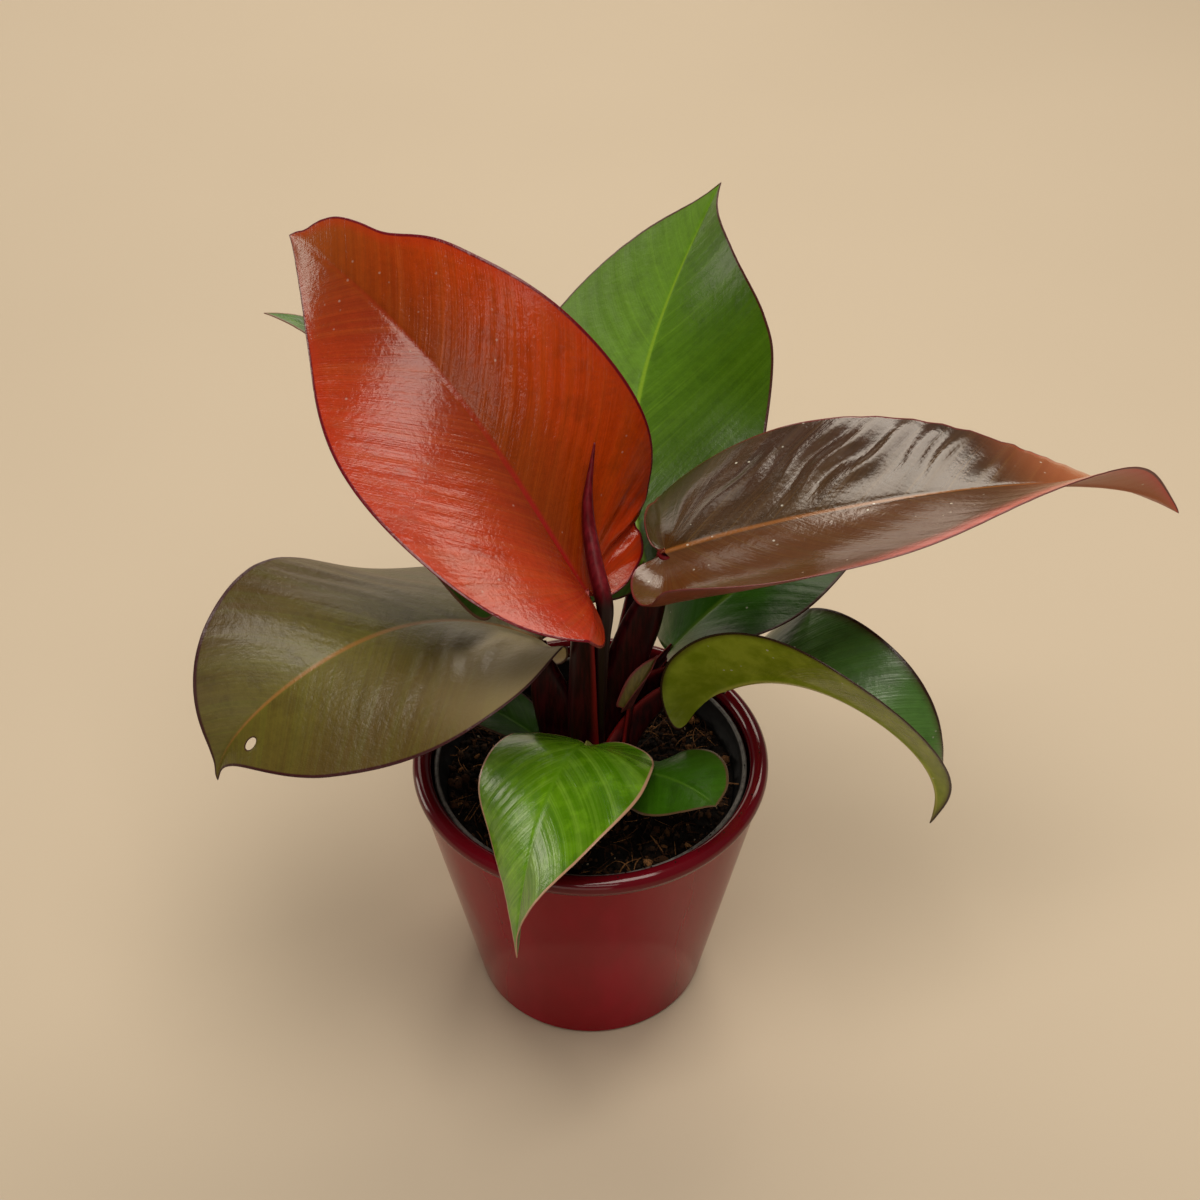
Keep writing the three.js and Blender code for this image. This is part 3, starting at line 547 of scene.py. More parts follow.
def arc(centre_r, centre_z, radius, start, end, steps):
    """Points of an arc in a profile, angles in degrees from the outward direction."""
    angle = np.radians(np.linspace(start, end, steps + 1))
    return [(centre_r + radius * math.cos(a), centre_z + radius * math.sin(a)) for a in angle]


def joined(parts):
    """Several (places, faces, values) as one."""
    places, faces, values = zip(*parts)
    offset = np.cumsum([0, *map(len, places[:-1])])
    return (np.concatenate(places), np.concatenate([part + start for part, start in zip(faces, offset)]),
            {key: np.concatenate([part[key] for part in values]) for key in values[0]})


def stem():
    """The short stem: a turned body with a rounded top."""
    places, faces = turned([
        (0, STEM_BOTTOM), (STEM_RADIUS - 2, STEM_BOTTOM), (STEM_RADIUS, STEM_BOTTOM + 3),
        (STEM_RADIUS, PETIOLE_FOOT), (STEM_RADIUS - 2, PETIOLE_FOOT + 5), (STEM_RADIUS - 7, STEM_TOP),
        (0, STEM_TOP + 1)], 48)
    blank = np.zeros(len(places))
    return places, faces, {"rim": blank, "blush": blank}


def new_leaf(rings=150, sides=40):
    """The rolled new leaf: a circle whose radius grows round the turn, so that the outer margin stands over the
    inner one as a lip, carried along a smooth curve."""
    s = np.linspace(0, 1, rings)
    point = smooth_curve(NEW_LEAF_PATH, s)
    along = unit(np.gradient(point, axis=0))
    radius = np.interp(s * (len(NEW_LEAF_RADII) - 1), np.arange(len(NEW_LEAF_RADII)), NEW_LEAF_RADII)
    side = unit(np.array([1.0, 0, 0]) - along * along[:, :1])
    up = np.cross(along, side)
    turn = np.linspace(0, 1, sides, endpoint=False)
    angle = np.radians(215 - 60 * s)[:, None] + 2 * np.pi * turn
    reach = radius[:, None] * (1 - LIP_SHARE * (1 - smoothstep(0, 1, turn)))
    body = point[:, None] + side[:, None] * (reach * np.cos(angle))[..., None]
    places, faces = swept(body + up[:, None] * (reach * np.sin(angle))[..., None])
    return new_mesh("new_leaf", places, faces, {
        "length": np.append(np.repeat(s, sides), [0, 1]),
        "lip": np.append(np.tile(smoothstep(0.86, 0.98, turn), rings), [0, 0])})


def soil_height(x, y):
    """Height of the mix: low mounds that fade out at the wall, and crumbs of three sizes in lattice noise."""
    far = np.hypot(x, y)
    edge = np.clip((SOIL_EDGE_RADIUS - far) / SOIL_EDGE_FADE, 0, 1)
    mounds = np.sin(0.21 * x + 1.3) * np.cos(0.17 * y + 0.4) + 0.6 * np.sin(0.43 * y - 0.31 * x)
    crumbs = sum(tall * (lattice_noise(x, y, seed, size) - 0.5)
                 for tall, seed, size in ((1.6, 5, 6.0), (1.5, 6, 2.6), (0.9, 7, 1.2)))
    return SOIL_LEVEL + SOIL_RELIEF * mounds * edge + crumbs * np.clip(edge + 0.3, 0, 1)


def potting_mix():
    """The mix: a turned body with a plain hole for the stem, its top raised to the soil's height."""
    bottom = POT_FLOOR + GAP + NURSERY_WALL + GAP
    low = NURSERY_BASE_RADIUS - NURSERY_WALL - GAP - 0.2
    high = NURSERY_RIM_RADIUS - NURSERY_SHOULDER - NURSERY_WALL - GAP - 0.4
    hole = STEM_RADIUS + 2 * GAP
    rings = [(r, SOIL_LEVEL) for r in np.linspace(high, hole, 64)]
    profile = [(0, bottom), (low, bottom), *rings, (hole, STEM_BOTTOM - GAP), (0, STEM_BOTTOM - GAP)]
    places, faces = turned(profile, 420)
    top = places[:, 2] == SOIL_LEVEL
    places[top, 2] = soil_height(places[top, 0], places[top, 1])
    return new_mesh("potting_mix_body", places, faces)


def scattered(rng, count):
    """Seeded places on the mix: even over the ring between two radii."""
    radius = np.sqrt(rng.uniform(*np.square(SCATTER_RADII), count))
    angle = rng.uniform(0, 2 * np.pi, count)
    x, y = radius * np.cos(angle), radius * np.sin(angle)
    return np.stack([x, y, soil_height(x, y)], -1)


def on_rims(rng, count):
    """Seeded places on the tops of the two pots' rims, most of them towards the front right."""
    outer = rng.random(count) < 0.6
    radius = np.where(outer, POT_RIM_RADIUS - RIM_ROLL, NURSERY_RIM_RADIUS - 1)
    height = np.where(outer, POT_HEIGHT, NURSERY_RIM_TOP)
    angle = rng.normal(-0.9, 0.7, count)
    return np.stack([radius * np.cos(angle), radius * np.sin(angle), height], -1)


def lumps(name, rng, spots, size, squash, sink=0.2):
    """Small angular lumps: an icosahedron with each corner moved in or out, squashed, turned by a random unit
    quaternion (w, v) as p + 2 v x (w p + v x p), and set on its spot, sunk in a little."""
    g = (1 + 5**0.5) / 2
    corners = np.array([np.roll((a, b, 0), k) for k in range(3) for b in (g, -g) for a in (-1, 1)])
    corners = corners / math.hypot(1, g)
    faces = np.array([(0, 11, 5), (0, 5, 1), (0, 1, 7), (0, 7, 10), (0, 10, 11), (1, 5, 9), (5, 11, 4),
                      (11, 10, 2), (10, 7, 6), (7, 1, 8), (3, 9, 4), (3, 4, 2), (3, 2, 6), (3, 6, 8), (3, 8, 9),
                      (4, 9, 5), (2, 4, 11), (6, 2, 10), (8, 6, 7), (9, 8, 1)])
    count = len(spots)
    shape = corners * rng.uniform(0.65, 1.2, (count, 12, 1)) * rng.uniform(*squash, (count, 1, 3))
    shape = shape * rng.uniform(*size, (count, 1, 1)) / 2
    turn = unit(rng.normal(size=(count, 1, 4)))
    w, v = turn[..., :1], turn[..., 1:]
    shape = shape + 2 * np.cross(v, w * shape + np.cross(v, shape))
    lift = shape[..., 2].max(1) * (1 - 2 * sink)
    places = shape + spots[:, None]
    places[..., 2] += lift[:, None]
    index = faces + 12 * np.arange(count)[:, None, None]
    tone = np.repeat(rng.random(count), 12)
    return new_mesh(name, places.reshape(-1, 3), index.reshape(-1, 3), {"tone": tone})


def fibres(name, rng, spots, length, thickness, steps=7, sides=4):
    """Thin curved fibres: a square section carried along a bow that lies on the mix, with tapered ends."""
    count = len(spots)
    s = np.linspace(-0.5, 0.5, steps)
    long, heading, bow, tilt = (
        rng.uniform(low, high, (count, 1))
        for low, high in (length, (0, 2 * np.pi), (-0.5, 0.5), (-0.25, 0.3)))
    cos, sin = np.cos(heading), np.sin(heading)
    forward = long * s
    sideways = long * bow * (s**2 - 0.25)
    x = spots[:, :1] + forward * cos - sideways * sin
    y = spots[:, 1:2] + forward * sin + sideways * cos
    z = spots[:, 2:] + 0.5 + long * tilt * s + 0.6 * np.cos(np.pi * s) * rng.uniform(0.5, 2.5, (count, 1))
    radius = rng.uniform(*thickness, (count, 1)) / 2 * np.sqrt(np.maximum(1.02 - 4 * s**2, 0.1))
    angle = np.arange(sides) * 2 * np.pi / sides
    across = np.stack([-sin, cos, 0 * sin], -1)[:, :, None]
    ring = (np.stack([x, y, z], -1)[:, :, None] + across * (radius[..., None] * np.cos(angle))[..., None]
            + np.array([0, 0, 1.0]) * (radius[..., None] * np.sin(angle))[..., None])
    caps = np.array([[3, 2, 1, 0], np.arange(4) + (steps - 1) * sides])
    one = np.concatenate([grid_faces(steps, sides, closed=True), caps])
    index = one + steps * sides * np.arange(count)[:, None, None]
    tone = np.repeat(rng.random(count), steps * sides)
    return new_mesh(name, ring.reshape(-1, 3), index.reshape(-1, 4), {"tone": tone})


def add(tree, kind, inputs=(), out=0, **settings):
    """Adds a shader node, sets its properties, sets or links its inputs, and returns one of its outputs."""
    node = tree.nodes.new("ShaderNode" + kind)
    for name, value in settings.items():
        setattr(node, name, value)
    for key, value in inputs.items() if isinstance(inputs, dict) else enumerate(inputs):
        if isinstance(value, bpy.types.NodeSocket):
            tree.links.new(value, node.inputs[key])
        else:
            node.inputs[key].default_value = value
    return node.outputs[out]


def material(name, **sockets):
    """A new material with these sockets of its shader set, add for its own node tree, and its coordinates."""
    made = bpy.data.materials.new(name)
    made.use_nodes = True
    shader = made.node_tree.nodes["Principled BSDF"]
    for key, value in sockets.items():
        shader.inputs[key.replace("_", " ")].default_value = value
    node = partial(add, made.node_tree)
    return made, node, node("TexCoord", out="Object")


def wired(made, **sockets):
    """The material, with outputs of its nodes linked to these sockets of its Principled shader."""
    shader = made.node_tree.nodes["Principled BSDF"]
    for key, output in sockets.items():
        made.node_tree.links.new(output, shader.inputs[key.replace("_", " ")])
    return made


SMOOTH = dict(interpolation_type="SMOOTHSTEP")
TIMES = dict(operation="MULTIPLY")
TIMES_PLUS = dict(operation="MULTIPLY_ADD")


def painted(node, colour, *layers):
    """A colour with layers over it. A layer covers by a share, or by a share that rises smoothly from 0 to the
    most that it may cover while a value goes from low to high. Colours are hex, or worked out by nodes."""
    colour = linear(colour) if isinstance(colour, str) else colour
    for share, *limits, over in layers:
        if limits:
            *span, most = limits
            share = node("MapRange", [share, *span, 0.0, most], **SMOOTH)
        over = linear(over) if isinstance(over, str) else over
        colour = node("Mix", {0: share, 6: colour, 7: over}, out=2, data_type="RGBA")
    return colour


def leaf_skin(name, tones, under, spacing=11, gloss=0.3, shine=0.5, margin_width=0.9, rib_width=1.3,
              rib_ends=(0.98, 0.75), patch_share=0.5, vein_share=0.2, streak_share=0.16, under_gloss=0.42,
              brushed=0.45, pebbled=0.3, specks=0.0, areas=(), tips=(), edge_tints_and_sheen=()):
    """Living leaf skin: a waxy, clear cuticle over coloured tissue. Its colour runs from the midrib out to the
    margin, is clouded by patches, and is drawn through by side veins spacing mm apart and by finer ones between
    them. The wax gives a broad soft gloss, which the fine veins break into streaks."""
    rib, inner, outer, patch, margin, vein = tones
    made, node, coords = material(name, IOR=1.45, Specular_IOR_Level=shine)
    place = {key: node("Attribute", out="Fac", attribute_name=key)
             for key in ("along", "across", "edge", "vein", "under")}
    away = node("Math", [place["across"]], operation="ABSOLUTE")
    # Clouds 45 mm across, mottling 9 mm, and the skin's pebbles 2.4 mm (drawn coarser than the real 0.5 mm)
    cloud, mottle, pebble = (
        node("TexNoise", {"Vector": coords, "Scale": 1000 / size, "Detail": detail, "Roughness": rough})
        for size, detail, rough in ((45, 3.0, 0.5), (9, 4.0, 0.6), (2.4, 3.0, 0.6)))
    # Streaks 5 mm wide and veins 1 mm wide, both drawn out along the side veins
    drawn_out = node("Math", [away, 0.04], **TIMES)
    line_place = node("CombineXYZ", [place["vein"], drawn_out])
    streak = node("TexNoise", {"Vector": line_place, "Scale": 1 / 5, "Detail": 3.0, "Roughness": 0.6})
    fine = node("TexNoise", {"Vector": line_place, "Scale": 1.0, "Detail": 2.0})
    # Side veins: lines that the clouds push about by up to 3 mm, fading towards the margin
    wander = node("Math", [cloud, 3.0, place["vein"]], **TIMES_PLUS)
    line = node("Math", [wander, spacing / 2], operation="PINGPONG")
    line = node("MapRange", [line, spacing / 2 - 0.8, spacing / 2], **SMOOTH)
    line_fade = node("MapRange", [away, 40.0, 2.0, 0.0, vein_share], **SMOOTH)
    line = node("Math", [line, line_fade], **TIMES)
    # Midrib: narrower and fainter towards the tip
    half_rib = node("Math", [place["along"], -0.7 * rib_width, rib_width], **TIMES_PLUS)
    rib_near = node("MapRange", [node("Math", [away, half_rib], operation="DIVIDE"), 1.7, 0.3], **SMOOTH)
    rib_share = node("MapRange", [place["along"], *rib_ends, 0.25, 1.0], **SMOOTH)
    rib_share = node("Math", [rib_near, rib_share], **TIMES)
    reach = node("Math", [cloud, 14.0, away], **TIMES_PLUS)
    colour = painted(
        node, inner, (reach, 8.0, 42.0, 1.0, outer), (mottle, 0.45, 0.68, patch_share, patch),
        *[(place[key], *rest) for key, *rest in areas], (streak, 0.42, 0.66, streak_share, vein), (line, vein))
    grain = node("MapRange", [fine, 0.3, 0.7, 0.9, 1.08])
    grit = node("MapRange", [pebble, 0.3, 0.7, 0.93, 1.06])
    grain = node("Math", [grain, grit], **TIMES)
    colour = node("VectorMath", {0: colour, "Scale": grain}, operation="SCALE")
    below = node("MapRange", [place["under"], 0.45, 0.55])
    lower = painted(node, under[0], (mottle, 0.3, 0.7, 1.0, under[1]), (rib_near, under[2]))
    colour = painted(node, colour, (rib_share, rib), (below, lower), *[(place["along"], *tip) for tip in tips])
    # Edge layers: mostly tints of the margin, on one leaf a painted sheen
    for layer_colour, width, most, *masks in edge_tints_and_sheen:
        uneven = node("Math", [cloud, width, place["edge"]], **TIMES_PLUS)
        near = node("MapRange", [uneven, 1.5 * width, 0.5 * width, 0.0, most], **SMOOTH)
        for key, low, high in masks:
            mask = node("MapRange", [place[key], low, high], **SMOOTH)
            near = node("Math", [near, mask], **TIMES)
        colour = painted(node, colour, (near, layer_colour))
    if specks:
        # Dried droplets: pale dots under 1 mm, only here and there
        dots = node("TexVoronoi", {"Vector": coords, "Scale": 1000 / 5}, out="Distance")
        dots = node("MapRange", [dots, 0.13, 0.06], **SMOOTH)
        rare = node("MapRange", [mottle, 0.5, 0.6, 0.0, specks], **SMOOTH)
        colour = painted(node, colour, (node("Math", [dots, rare], **TIMES), "#B9B7AA"))
    ragged = node("Math", [cloud, -0.6, place["edge"]], **TIMES_PLUS)
    colour = painted(node, colour, (ragged, margin_width, margin_width * 0.3, 1.0, margin))
    upper_rough = node("MapRange", [streak, 0.3, 0.7, gloss - 0.08 * brushed, gloss + 0.18 * brushed])
    rough = node("Mix", [below, (0, 0, 0), upper_rough, under_gloss])
    ridges = node("Bump", {"Height": fine, "Strength": brushed, "Distance": 0.35 * MM})
    bumps = node("Bump", {"Height": pebble, "Strength": pebbled, "Distance": 0.5 * MM, "Normal": ridges})
    return wired(made, Base_Color=colour, Roughness=rough, Normal=bumps)


def fibrous(name, tones, layers, rough=(0.26, 0.42), **sockets):
    """Smooth plant tissue with fine lengthwise fibres 1.3 mm apart: two tones that follow them, and layers over
    these, each an attribute, the range in which it shows, the most that it covers, and its colour."""
    made, node, coords = material(name, IOR=1.45, **sockets)
    stretched = node("Mapping", {"Vector": coords, "Scale": (1, 1, 0.12)})
    streak = node("TexNoise", {"Vector": stretched, "Scale": 1000 / 1.3, "Detail": 3.0})
    colour = painted(node, tones[0], (streak, 0.35, 0.7, 1.0, tones[1]), *[
        (node("Attribute", out="Fac", attribute_name=key), *rest) for key, *rest in layers])
    bump = node("Bump", {"Height": streak, "Strength": 0.3, "Distance": 0.2 * MM})
    return wired(made, Base_Color=colour, Roughness=node("MapRange", [streak, 0.2, 0.8, *rough]), Normal=bump)


def glaze():
    """Cherry red glaze on fired clay: colour that is a little uneven from dipping, with faint soft waves and
    fine grit, and deeper under a clear coat on the rolled rim, where the glaze is thick."""
    made, node, coords = material(
        "cherry_glazed_earthenware", IOR=1.5, Specular_IOR_Level=0.045, Coat_Roughness=0.1)
    height = node("SeparateXYZ", [coords], out="Z")
    thick = node("MapRange", [height, (POT_HEIGHT - 8) * MM, (POT_HEIGHT - 6) * MM], **SMOOTH)
    tall = node("Mapping", {"Vector": coords, "Scale": (1, 1, 0.35)})
    pool = node("TexNoise", {"Vector": tall, "Scale": 1000 / 38, "Detail": 3.0, "Roughness": 0.6})
    wave = node("TexNoise", {"Vector": tall, "Scale": 1000 / 17, "Detail": 2.0})
    grain = node("TexNoise", {"Vector": coords, "Scale": 1000 / 1.1, "Detail": 2.0})
    colour = painted(node, "#7A0614", (pool, 0.35, 0.7, 1.0, "#8E0820"), (grain, 0.55, 0.8, 0.2, "#82242C"),
                     (thick, "#580612"))
    soft = node("Bump", {"Height": wave, "Strength": 0.12, "Distance": 1.2 * MM})
    fine = node("Bump", {"Height": grain, "Strength": 0.04, "Distance": 0.2 * MM, "Normal": soft})
    return wired(made, Base_Color=colour, Coat_Weight=node("MapRange", [thick, 0.0, 1.0, 0.0, 0.5]),
                 Roughness=node("MapRange", [pool, 0.3, 0.7, 0.07, 0.15]), Normal=fine)


def grower_plastic():
    """Thin moulded polypropylene: black, and grey on its rim's top edge, partly from scuffs and dust and partly
    a painted highlight.
    """
    made, node, coords = material("black_moulded_polypropylene", IOR=1.49)
    scuff = node("TexNoise", {"Vector": coords, "Scale": 1000 / 2.6, "Detail": 4.0, "Roughness": 0.7})
    height = node("SeparateXYZ", [coords], out="Z")
    # Grey top edge of the rim: scuffs and dust, with a painted highlight in the same grey
    dust_and_highlight = painted(node, "#2E2C2A", (scuff, 0.3, 0.6, 1.0, "#5E5A56"))
    edge = ((NURSERY_RIM_TOP - 1.2) * MM, (NURSERY_RIM_TOP - 0.1) * MM)
    colour = painted(node, "#080808", (scuff, 0.4, 0.75, 1.0, "#161514"), (height, *edge, 1.0, dust_and_highlight))
    bump = node("Bump", {"Height": scuff, "Strength": 0.15, "Distance": 0.3 * MM})
    return wired(made, Base_Color=colour, Roughness=node("MapRange", [scuff, 0.3, 0.7, 0.4, 0.6]), Normal=bump)


def crumbly(name, dark, light, rare):
    """Dry or moist crumbs: tones by piece where the mesh has them, and grain of 4 mm and 0.7 mm within each."""
    made, node, coords = material(name, IOR=1.35, Roughness=0.95, Specular_IOR_Level=0.3)
    coarse, grain = (
        node("TexNoise", {"Vector": coords, "Scale": 1000 / size, "Detail": detail, "Roughness": 0.7})
        for size, detail in ((4, 4.0), (0.7, 3.0)))
    tone = node("Attribute", out="Fac", attribute_name="tone")
    rarely = node("Math", [node("MapRange", [tone, 0.5, 1.0], **SMOOTH),
                           node("MapRange", [grain, 0.3, 0.6], **SMOOTH)], **TIMES)
    colour = painted(node, dark, (coarse, 0.35, 0.7, 1.0, light), (rarely, rare))
    return wired(made, Base_Color=colour,
                 Normal=node("Bump", {"Height": grain, "Strength": 0.7, "Distance": 0.5 * MM}))


# A half's tint comes in over a few mm from the midrib
LEFT_HALF = ("across", -1.0, 3.0)
RIGHT_HALF = ("across", 1.0, -3.0)
DULL_UNDERSIDE = "#38421A #444E20 #585428"
GREEN_UNDERSIDE = "#3A4614 #4A541C #5A6024"
# Skins: the record's slot; colours of the midrib, the blade near it and farther out, its patches, margin and
# side veins; colours of the underside, its mottling and its midrib; and what differs from the usual. areas:
# attribute, range over which a tint comes in, the most that it covers, colour. tips: the same along the leaf.
# Edge layers: colour, reach from the margin in mm, the most that it covers, attributes and ranges where it
# shows. Most are tints of the margin; the olive bronze leaf's is a painted sheen.
SKINS = {
    "orange": ("leaf_orange", "#8A1814 #762C02 #A23402 #702602 #5A0614 #A24E12",
               "#5A1A14 #6A2418 #7A2020", dict(
        gloss=0.2, patch_share=0.35, rib_ends=(0.55, 0.1), rib_width=1.4, vein_share=0.12, brushed=0.4,
        pebbled=0.5, specks=0.25, shine=0.34, tips=[(0.68, 1.1, 1.0, "#8A4410")],
        edge_tints_and_sheen=[("#A0240A", 6.0, 0.45)],
        areas=[(*LEFT_HALF, 0.4, "#84241A"), ("along", 0.16, 0.0, 0.5, "#86140C")])),
    "back_green": ("leaf_green", "#6A8A1C #527C12 #42660A #325206 #3C140C #5C8018", DULL_UNDERSIDE, dict(
        rib_width=1.2, brushed=0.15, shine=0.28,
        # Painted light and shade: the greyed left half is a painted sheen, and the darker right half and the
        # darkening towards the joint are painted shade
        areas=[(*LEFT_HALF, 0.35, "#566E30"), (*RIGHT_HALF, 0.5, "#2E4A04"),
               ("along", 0.55, 0.0, 0.8, "#1E2E02")])),
    "bronze_right": ("leaf_purple_bronze", "#744618 #38240E #342014 #2A1C0C #5E2020 #5C441C",
                     "#5A2014 #6A2C1A #7A381E", dict(
        gloss=0.17, specks=0.8, spacing=16, rib_width=0.9, vein_share=0.3, brushed=0.2, pebbled=0.25,
        tips=[(0.54, 0.8, 1.0, "#9C542C")], areas=[(*RIGHT_HALF, 0.7, "#563218")],
        edge_tints_and_sheen=[("#B4524A", 13.0, 0.9, ("across", 2.0, -4.0), ("along", 0.0, 0.5)),
               ("#B4301C", 5.0, 0.8, ("along", 0.6, 0.8))])),
    "bronze_left": ("leaf_olive_bronze", "#86602A #645E22 #4C3A18 #463C18 #340C10 #646A1E",
                    "#46281C #543420 #6A4026", dict(
        gloss=0.36, rib_width=1.2, spacing=15, patch_share=0.6, brushed=0.12, pebbled=0.6, shine=0.36,
        # The right half's darker brown is partly the leaf's colour and partly painted shadow of the orange leaf
        # above it
        areas=[(*LEFT_HALF, 0.5, "#524414"), (*RIGHT_HALF, 0.35, "#4C4024")],
        # The pale layer over the left half towards the joint is a painted sheen
        edge_tints_and_sheen=[("#A0916C", 80.0, 0.75, LEFT_HALF, ("along", 0.55, 0.12))])),
    "back_left": ("leaf_green", "#5E7A24 #365C12 #2E4E14 #24420C #6A4A38 #54781C", DULL_UNDERSIDE, dict(
        gloss=0.34)),
    "folded_right": ("leaf_dark_green", "#5E6A22 #4E7634 #42682C #30541C #2E160C #46682A",
                     "#6A7A12 #86942A #A0A246", dict(
        gloss=0.26, specks=0.9, under_gloss=0.22, tips=[(0.84, 1.05, 1.0, "#3A1C14")],
        edge_tints_and_sheen=[("#3E2A14", 4.0, 0.7, ("along", -0.2, -0.1))])),
    "low_right": ("leaf_green", "#4A6C1A #285406 #204604 #1A3C04 #3A2014 #3A6412", GREEN_UNDERSIDE, dict(
        specks=0.6, brushed=0.2, shine=0.15)),
    "front": ("leaf_bright_green", "#5A8A12 #4C7E04 #3E6C02 #6EA216 #A88268 #92BC40",
              "#4C5C1C #5C6A24 #787834", dict(
        # The paler streaks along the side veins are partly vein colour and partly painted highlights; the
        # lighter right half and the darker left half are painted light and shade
        gloss=0.2, margin_width=0.7, rib_width=0.9, spacing=7, vein_share=0.15, streak_share=0.25,
        patch_share=0.8, brushed=0.35, tips=[(0.86, 1.0, 1.0, "#4A6A24")],
        areas=[(*LEFT_HALF, 0.5, "#406A06"), (*RIGHT_HALF, 0.3, "#5E8E08")])),
    "small_right": ("leaf_green", "#446E14 #305C06 #284C06 #204204 #54402A #3C6C12", GREEN_UNDERSIDE, dict(
        margin_width=0.6, rib_width=0.7, spacing=6, brushed=0.25)),
    "small_left": ("leaf_green", "#446E14 #2C5604 #244804 #1C3E04 #443020 #3C6C12", GREEN_UNDERSIDE, dict(
        gloss=0.36, margin_width=0.6, rib_width=0.7, spacing=6, shine=0.2)),
}


def make_leaves():
    """The ten blades and the bud sheath."""
    for name, (slot, tones, under, looks) in SKINS.items():
        big = LEAVES[name]["length"] > BIG_LEAF
        piece = blade(name, rows=200 if big else 90, columns=40 if big else 20)
        skin = leaf_skin(f"waxy_leaf_{name}", tones.split(), under.split(), **looks)
        finish_piece(piece, slot, skin, f"blade_{name}")
    # Drying bud sheath: olive papery tissue, crimson on its back and edges
    skin = fibrous("papery_bud_sheath", ("#4E4410", "#66581A"), [
        ("edge", 1.4, 0.3, 1.0, "#6A2420"), ("under", 0.45, 0.55, 1.0, "#4A1216")], rough=(0.45, 0.6))
    finish_piece(blade("sheath", rows=60, columns=12), "sheath", skin, "bud_sheath")


def make_stem():
    """The stem with its petioles, and the rolled new leaf."""
    parts = [stem()] + [petiole(name) for name in PETIOLES]
    piece = new_mesh("stem_with_petioles", *joined(parts))
    # Petioles: dark burgundy under a thin wax, their near-black tones partly painted shade, brighter at the
    # sheath's thin edges and towards some joints
    skin = fibrous("waxy_burgundy_petiole", ("#1C0205", "#320408"), [
        ("blush", 0.0, 1.0, 1.0, "#7A1A20"), ("rim", 0.0, 1.0, 0.7, "#7A1616")], Specular_IOR_Level=0.13)
    finish_piece(piece, "petiole", skin, "stem_and_petioles")
    # Young rolled leaf: crimson, paler along its lip, with painted shade darkening its lower part
    skin = fibrous("young_crimson_leaf", ("#4E0710", "#66101A"), [
        ("lip", 0.0, 1.0, 0.7, "#8A2630"), ("length", 0.5, 0.36, 1.0, "#1A0206")], rough=(0.28, 0.45),
        Specular_IOR_Level=0.25)
    finish_piece(new_leaf(), "new_leaf", skin, "rolled_new_leaf")


def make_pots():
    """The glazed cover pot and the nursery pot inside it, each turned from its profile."""
    inside = POT_BASE_RADIUS - POT_WALL
    pot = new_mesh("glazed_cover_pot", *turned([
        (0, 0),
        *arc(POT_BASE_RADIUS - FOOT_ROUND, FOOT_ROUND, FOOT_ROUND, -90, -10, 8),
        *arc(POT_RIM_RADIUS - RIM_ROLL, POT_HEIGHT - RIM_ROLL, RIM_ROLL, -55, 215, 28),
        (inside + 1, POT_FLOOR + 2), (inside - 1, POT_FLOOR), (0, POT_FLOOR)], 256))
    finish_piece(pot, "cherry_glaze", glaze(), "cover_pot")
    bottom, wall = POT_FLOOR + GAP, NURSERY_WALL
    band = NURSERY_RIM_TOP - NURSERY_RIM_BAND
    base, rim, top = NURSERY_BASE_RADIUS, NURSERY_RIM_RADIUS, NURSERY_RIM_RADIUS - NURSERY_SHOULDER
    pot = new_mesh("plastic_nursery_pot", *turned([
        (0, bottom), (base - 1, bottom), (base, bottom + 1), (top, band - 0.3), (top + 0.4, band),
        (rim - 0.6, band), (rim, band + 1), *arc(rim - 1, NURSERY_RIM_TOP - 1, 1, 0, 180, 12),
        (rim - wall - 1, band + 1), (top - wall, band - 1), (base - wall, bottom + wall),
        (0, bottom + wall)], 200))
    cut_drains(pot, bottom - 1, bottom + wall + 1)
    finish_piece(pot, "grower_plastic", grower_plastic(), "nursery_pot")


def cut_drains(pot, low, high):
    """Cuts the ring of drain holes through the nursery pot's floor."""
    places, faces = turned([(0, low), (DRAIN_HOLE_RADIUS, low), (DRAIN_HOLE_RADIUS, high), (0, high)], 24)
    drill = new_mesh("drain_drill", *joined([
        (places + DRAIN_CIRCLE_RADIUS * np.array([math.cos(angle), math.sin(angle), 0]), faces, {})
        for angle in np.arange(DRAIN_HOLES) * 2 * math.pi / DRAIN_HOLES]))
    cut = pot.modifiers.new("drain_holes", "BOOLEAN")
    cut.operation, cut.solver, cut.object = "DIFFERENCE", "EXACT", drill
    with bpy.context.temp_override(object=pot, active_object=pot):
        bpy.ops.object.modifier_apply(modifier=cut.name)
    bpy.data.objects.remove(drill)


def make_mix():
    """The potting mix with its crumbs, chips, grit and fibres, and soil specks on the two rims."""
    peat, crumbs, bark, grit = (crumbly(*tones) for tones in (
        ("moist_peat", "#070504", "#17100B", "#2A1C12"), ("peat_crumb", "#0C0806", "#1E140D", "#4A3322"),
        ("coir_chip", "#2E1C10", "#4A2E1A", "#9A6C42"), ("pale_grit", "#8A7A60", "#B5A488", "#D8CDB4")))
    finish_piece(potting_mix(), "potting_mix", peat, "potting_mix")
    rng = np.random.default_rng(2026)
    for name, count, size, squash, skin in (
            ("peat_crumbs", 2600, (0.8, 3.2), (0.6, 1.1), crumbs),
            ("coir_chips", 260, (2.0, 6.0), (0.25, 1.0), bark),
            ("pale_grit", 90, (0.5, 1.4), (0.6, 1.0), grit)):
        finish_piece(lumps(name, rng, scattered(rng, count), size, squash), "potting_mix", skin)
    finish_piece(lumps("soil_specks", rng, on_rims(rng, 26), (0.35, 1.0), (0.6, 1.0)), "potting_mix", crumbs)
    finish_piece(fibres("coir_fibres", rng, scattered(rng, 420), (5, 17), (0.25, 0.7)), "potting_mix", bark)


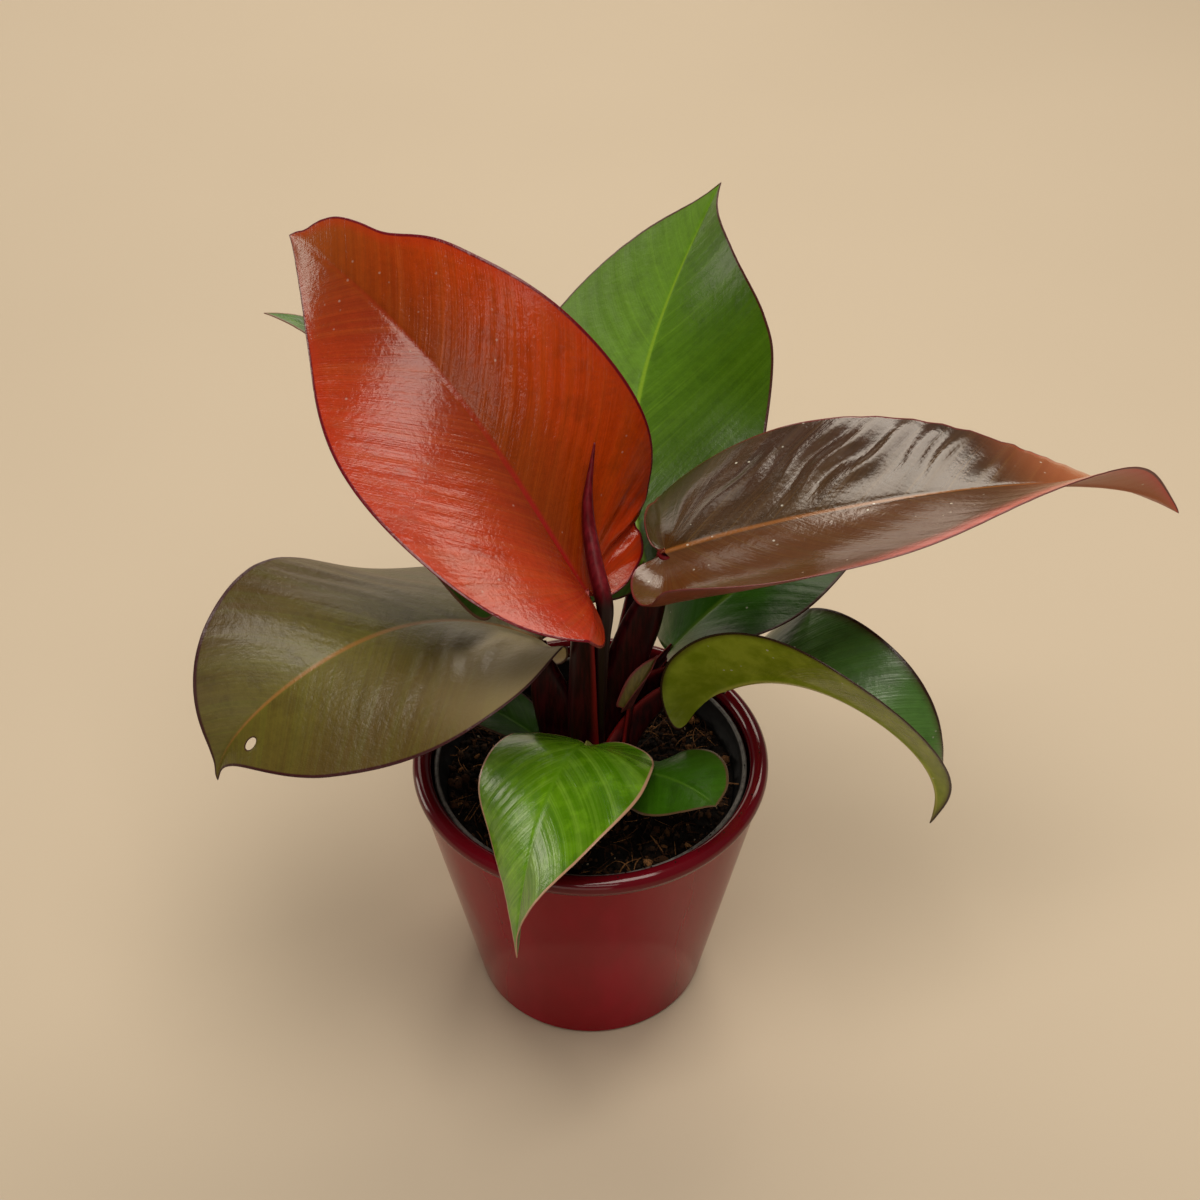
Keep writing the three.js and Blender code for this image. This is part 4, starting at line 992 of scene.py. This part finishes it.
def make_stage():
    """A pale, matt board, 6 m square."""
    corners = np.array([(-1, -1, 0), (1, -1, 0), (1, 1, 0), (-1, 1, 0)]) * 3 / MM
    floor = new_mesh("floor", corners, np.array([[0, 1, 2, 3]]))
    made, node, coords = material("pale_matt_board", Roughness=0.7, Specular_IOR_Level=0.2)
    cloud = node("TexNoise", {"Vector": coords, "Scale": 3.0, "Detail": 2.0})
    floor.data.materials.append(wired(made, Base_Color=painted(node, "#B3A692", (cloud, "#BAAD99"))))


def make_lights():
    """Softboxes that face the plant: one overhead, windows and a bright wall behind, a low window at the left,
    a window and a low fill in front, and a dim surround. Places and sizes are in metres."""
    for name, place, size, watts, colour in (
            ("overhead", (0.1, -0.26, 1.5), (0.78, 0.78), 16, "#FFF6EA"),
            ("window_behind", (0.5, 1.02, 1.35), (1.25, 0.65), 18, "#FFF3E2"),
            ("bright_wall", (-0.35, 1.4, 0.33), (1.2, 0.5), 2.8, "#FFF0DC"),
            ("window_low_left", (-1.3, 0.55, 0.32), (0.45, 0.5), 3.6, "#FFF3E2"),
            ("window_left", (-0.62, 0.88, 1.15), (0.5, 0.7), 2.5, "#FFF3E2"),
            ("front_window", (0.08, -1.12, 1.13), (0.5, 0.3), 2, "#FFF3E6"),
            ("fill", (-0.45, -1.4, 0.3), (1.6, 0.6), 4, "#FFEBD6")):
        data = bpy.data.lights.new(name, "AREA")
        data.shape, data.size, data.size_y = "RECTANGLE", *size
        data.energy, data.color = watts, linear(colour)[:3]
        lamp = bpy.data.objects.new(name, data)
        lamp.location = place
        lamp.rotation_euler = (Vector((0, 0, 0.15)) - Vector(place)).to_track_quat("-Z", "Y").to_euler()
        bpy.context.scene.collection.objects.link(lamp)
    world = bpy.data.worlds.new("studio")
    bpy.context.scene.world = world
    world.use_nodes = True
    background = world.node_tree.nodes["Background"]
    background.inputs["Color"].default_value = linear("#F0E8DE")
    background.inputs["Strength"].default_value = 0.16
    bpy.context.scene.view_settings.view_transform = "Standard"


def make_camera():
    """The photograph's camera: it looks past the pot's axis by as much as that lies off the image's centre."""
    elevation = math.radians(CAMERA_ELEVATION)
    half = IMAGE_SIDE / 2
    pitch = elevation - math.atan((POT_AXIS_PIXEL[1] - half) / FOCAL_PIXELS)
    yaw = math.atan((POT_AXIS_PIXEL[0] - half) / math.hypot(FOCAL_PIXELS, POT_AXIS_PIXEL[1] - half))
    place = Vector((0, -math.cos(elevation), math.sin(elevation))) * CAMERA_DISTANCE
    place = (place + Vector((0, 0, RIM_CENTRE_HEIGHT))) * MM
    data = bpy.data.cameras.new("camera")
    data.sensor_width = SENSOR
    data.lens = FOCAL_PIXELS / IMAGE_SIDE * SENSOR
    data.clip_start, data.clip_end = 0.05, 20
    camera = bpy.data.objects.new("camera", data)
    turn = Matrix.Rotation(yaw, 4, "Z") @ Matrix.Rotation(math.pi / 2 - pitch, 4, "X")
    camera.matrix_world = Matrix.Translation(place) @ turn
    bpy.context.scene.collection.objects.link(camera)
    bpy.context.scene.camera = camera


make_camera()
make_leaves()
make_stem()
make_pots()
make_mix()
make_stage()
make_lights()

bpy.context.view_layer.update()
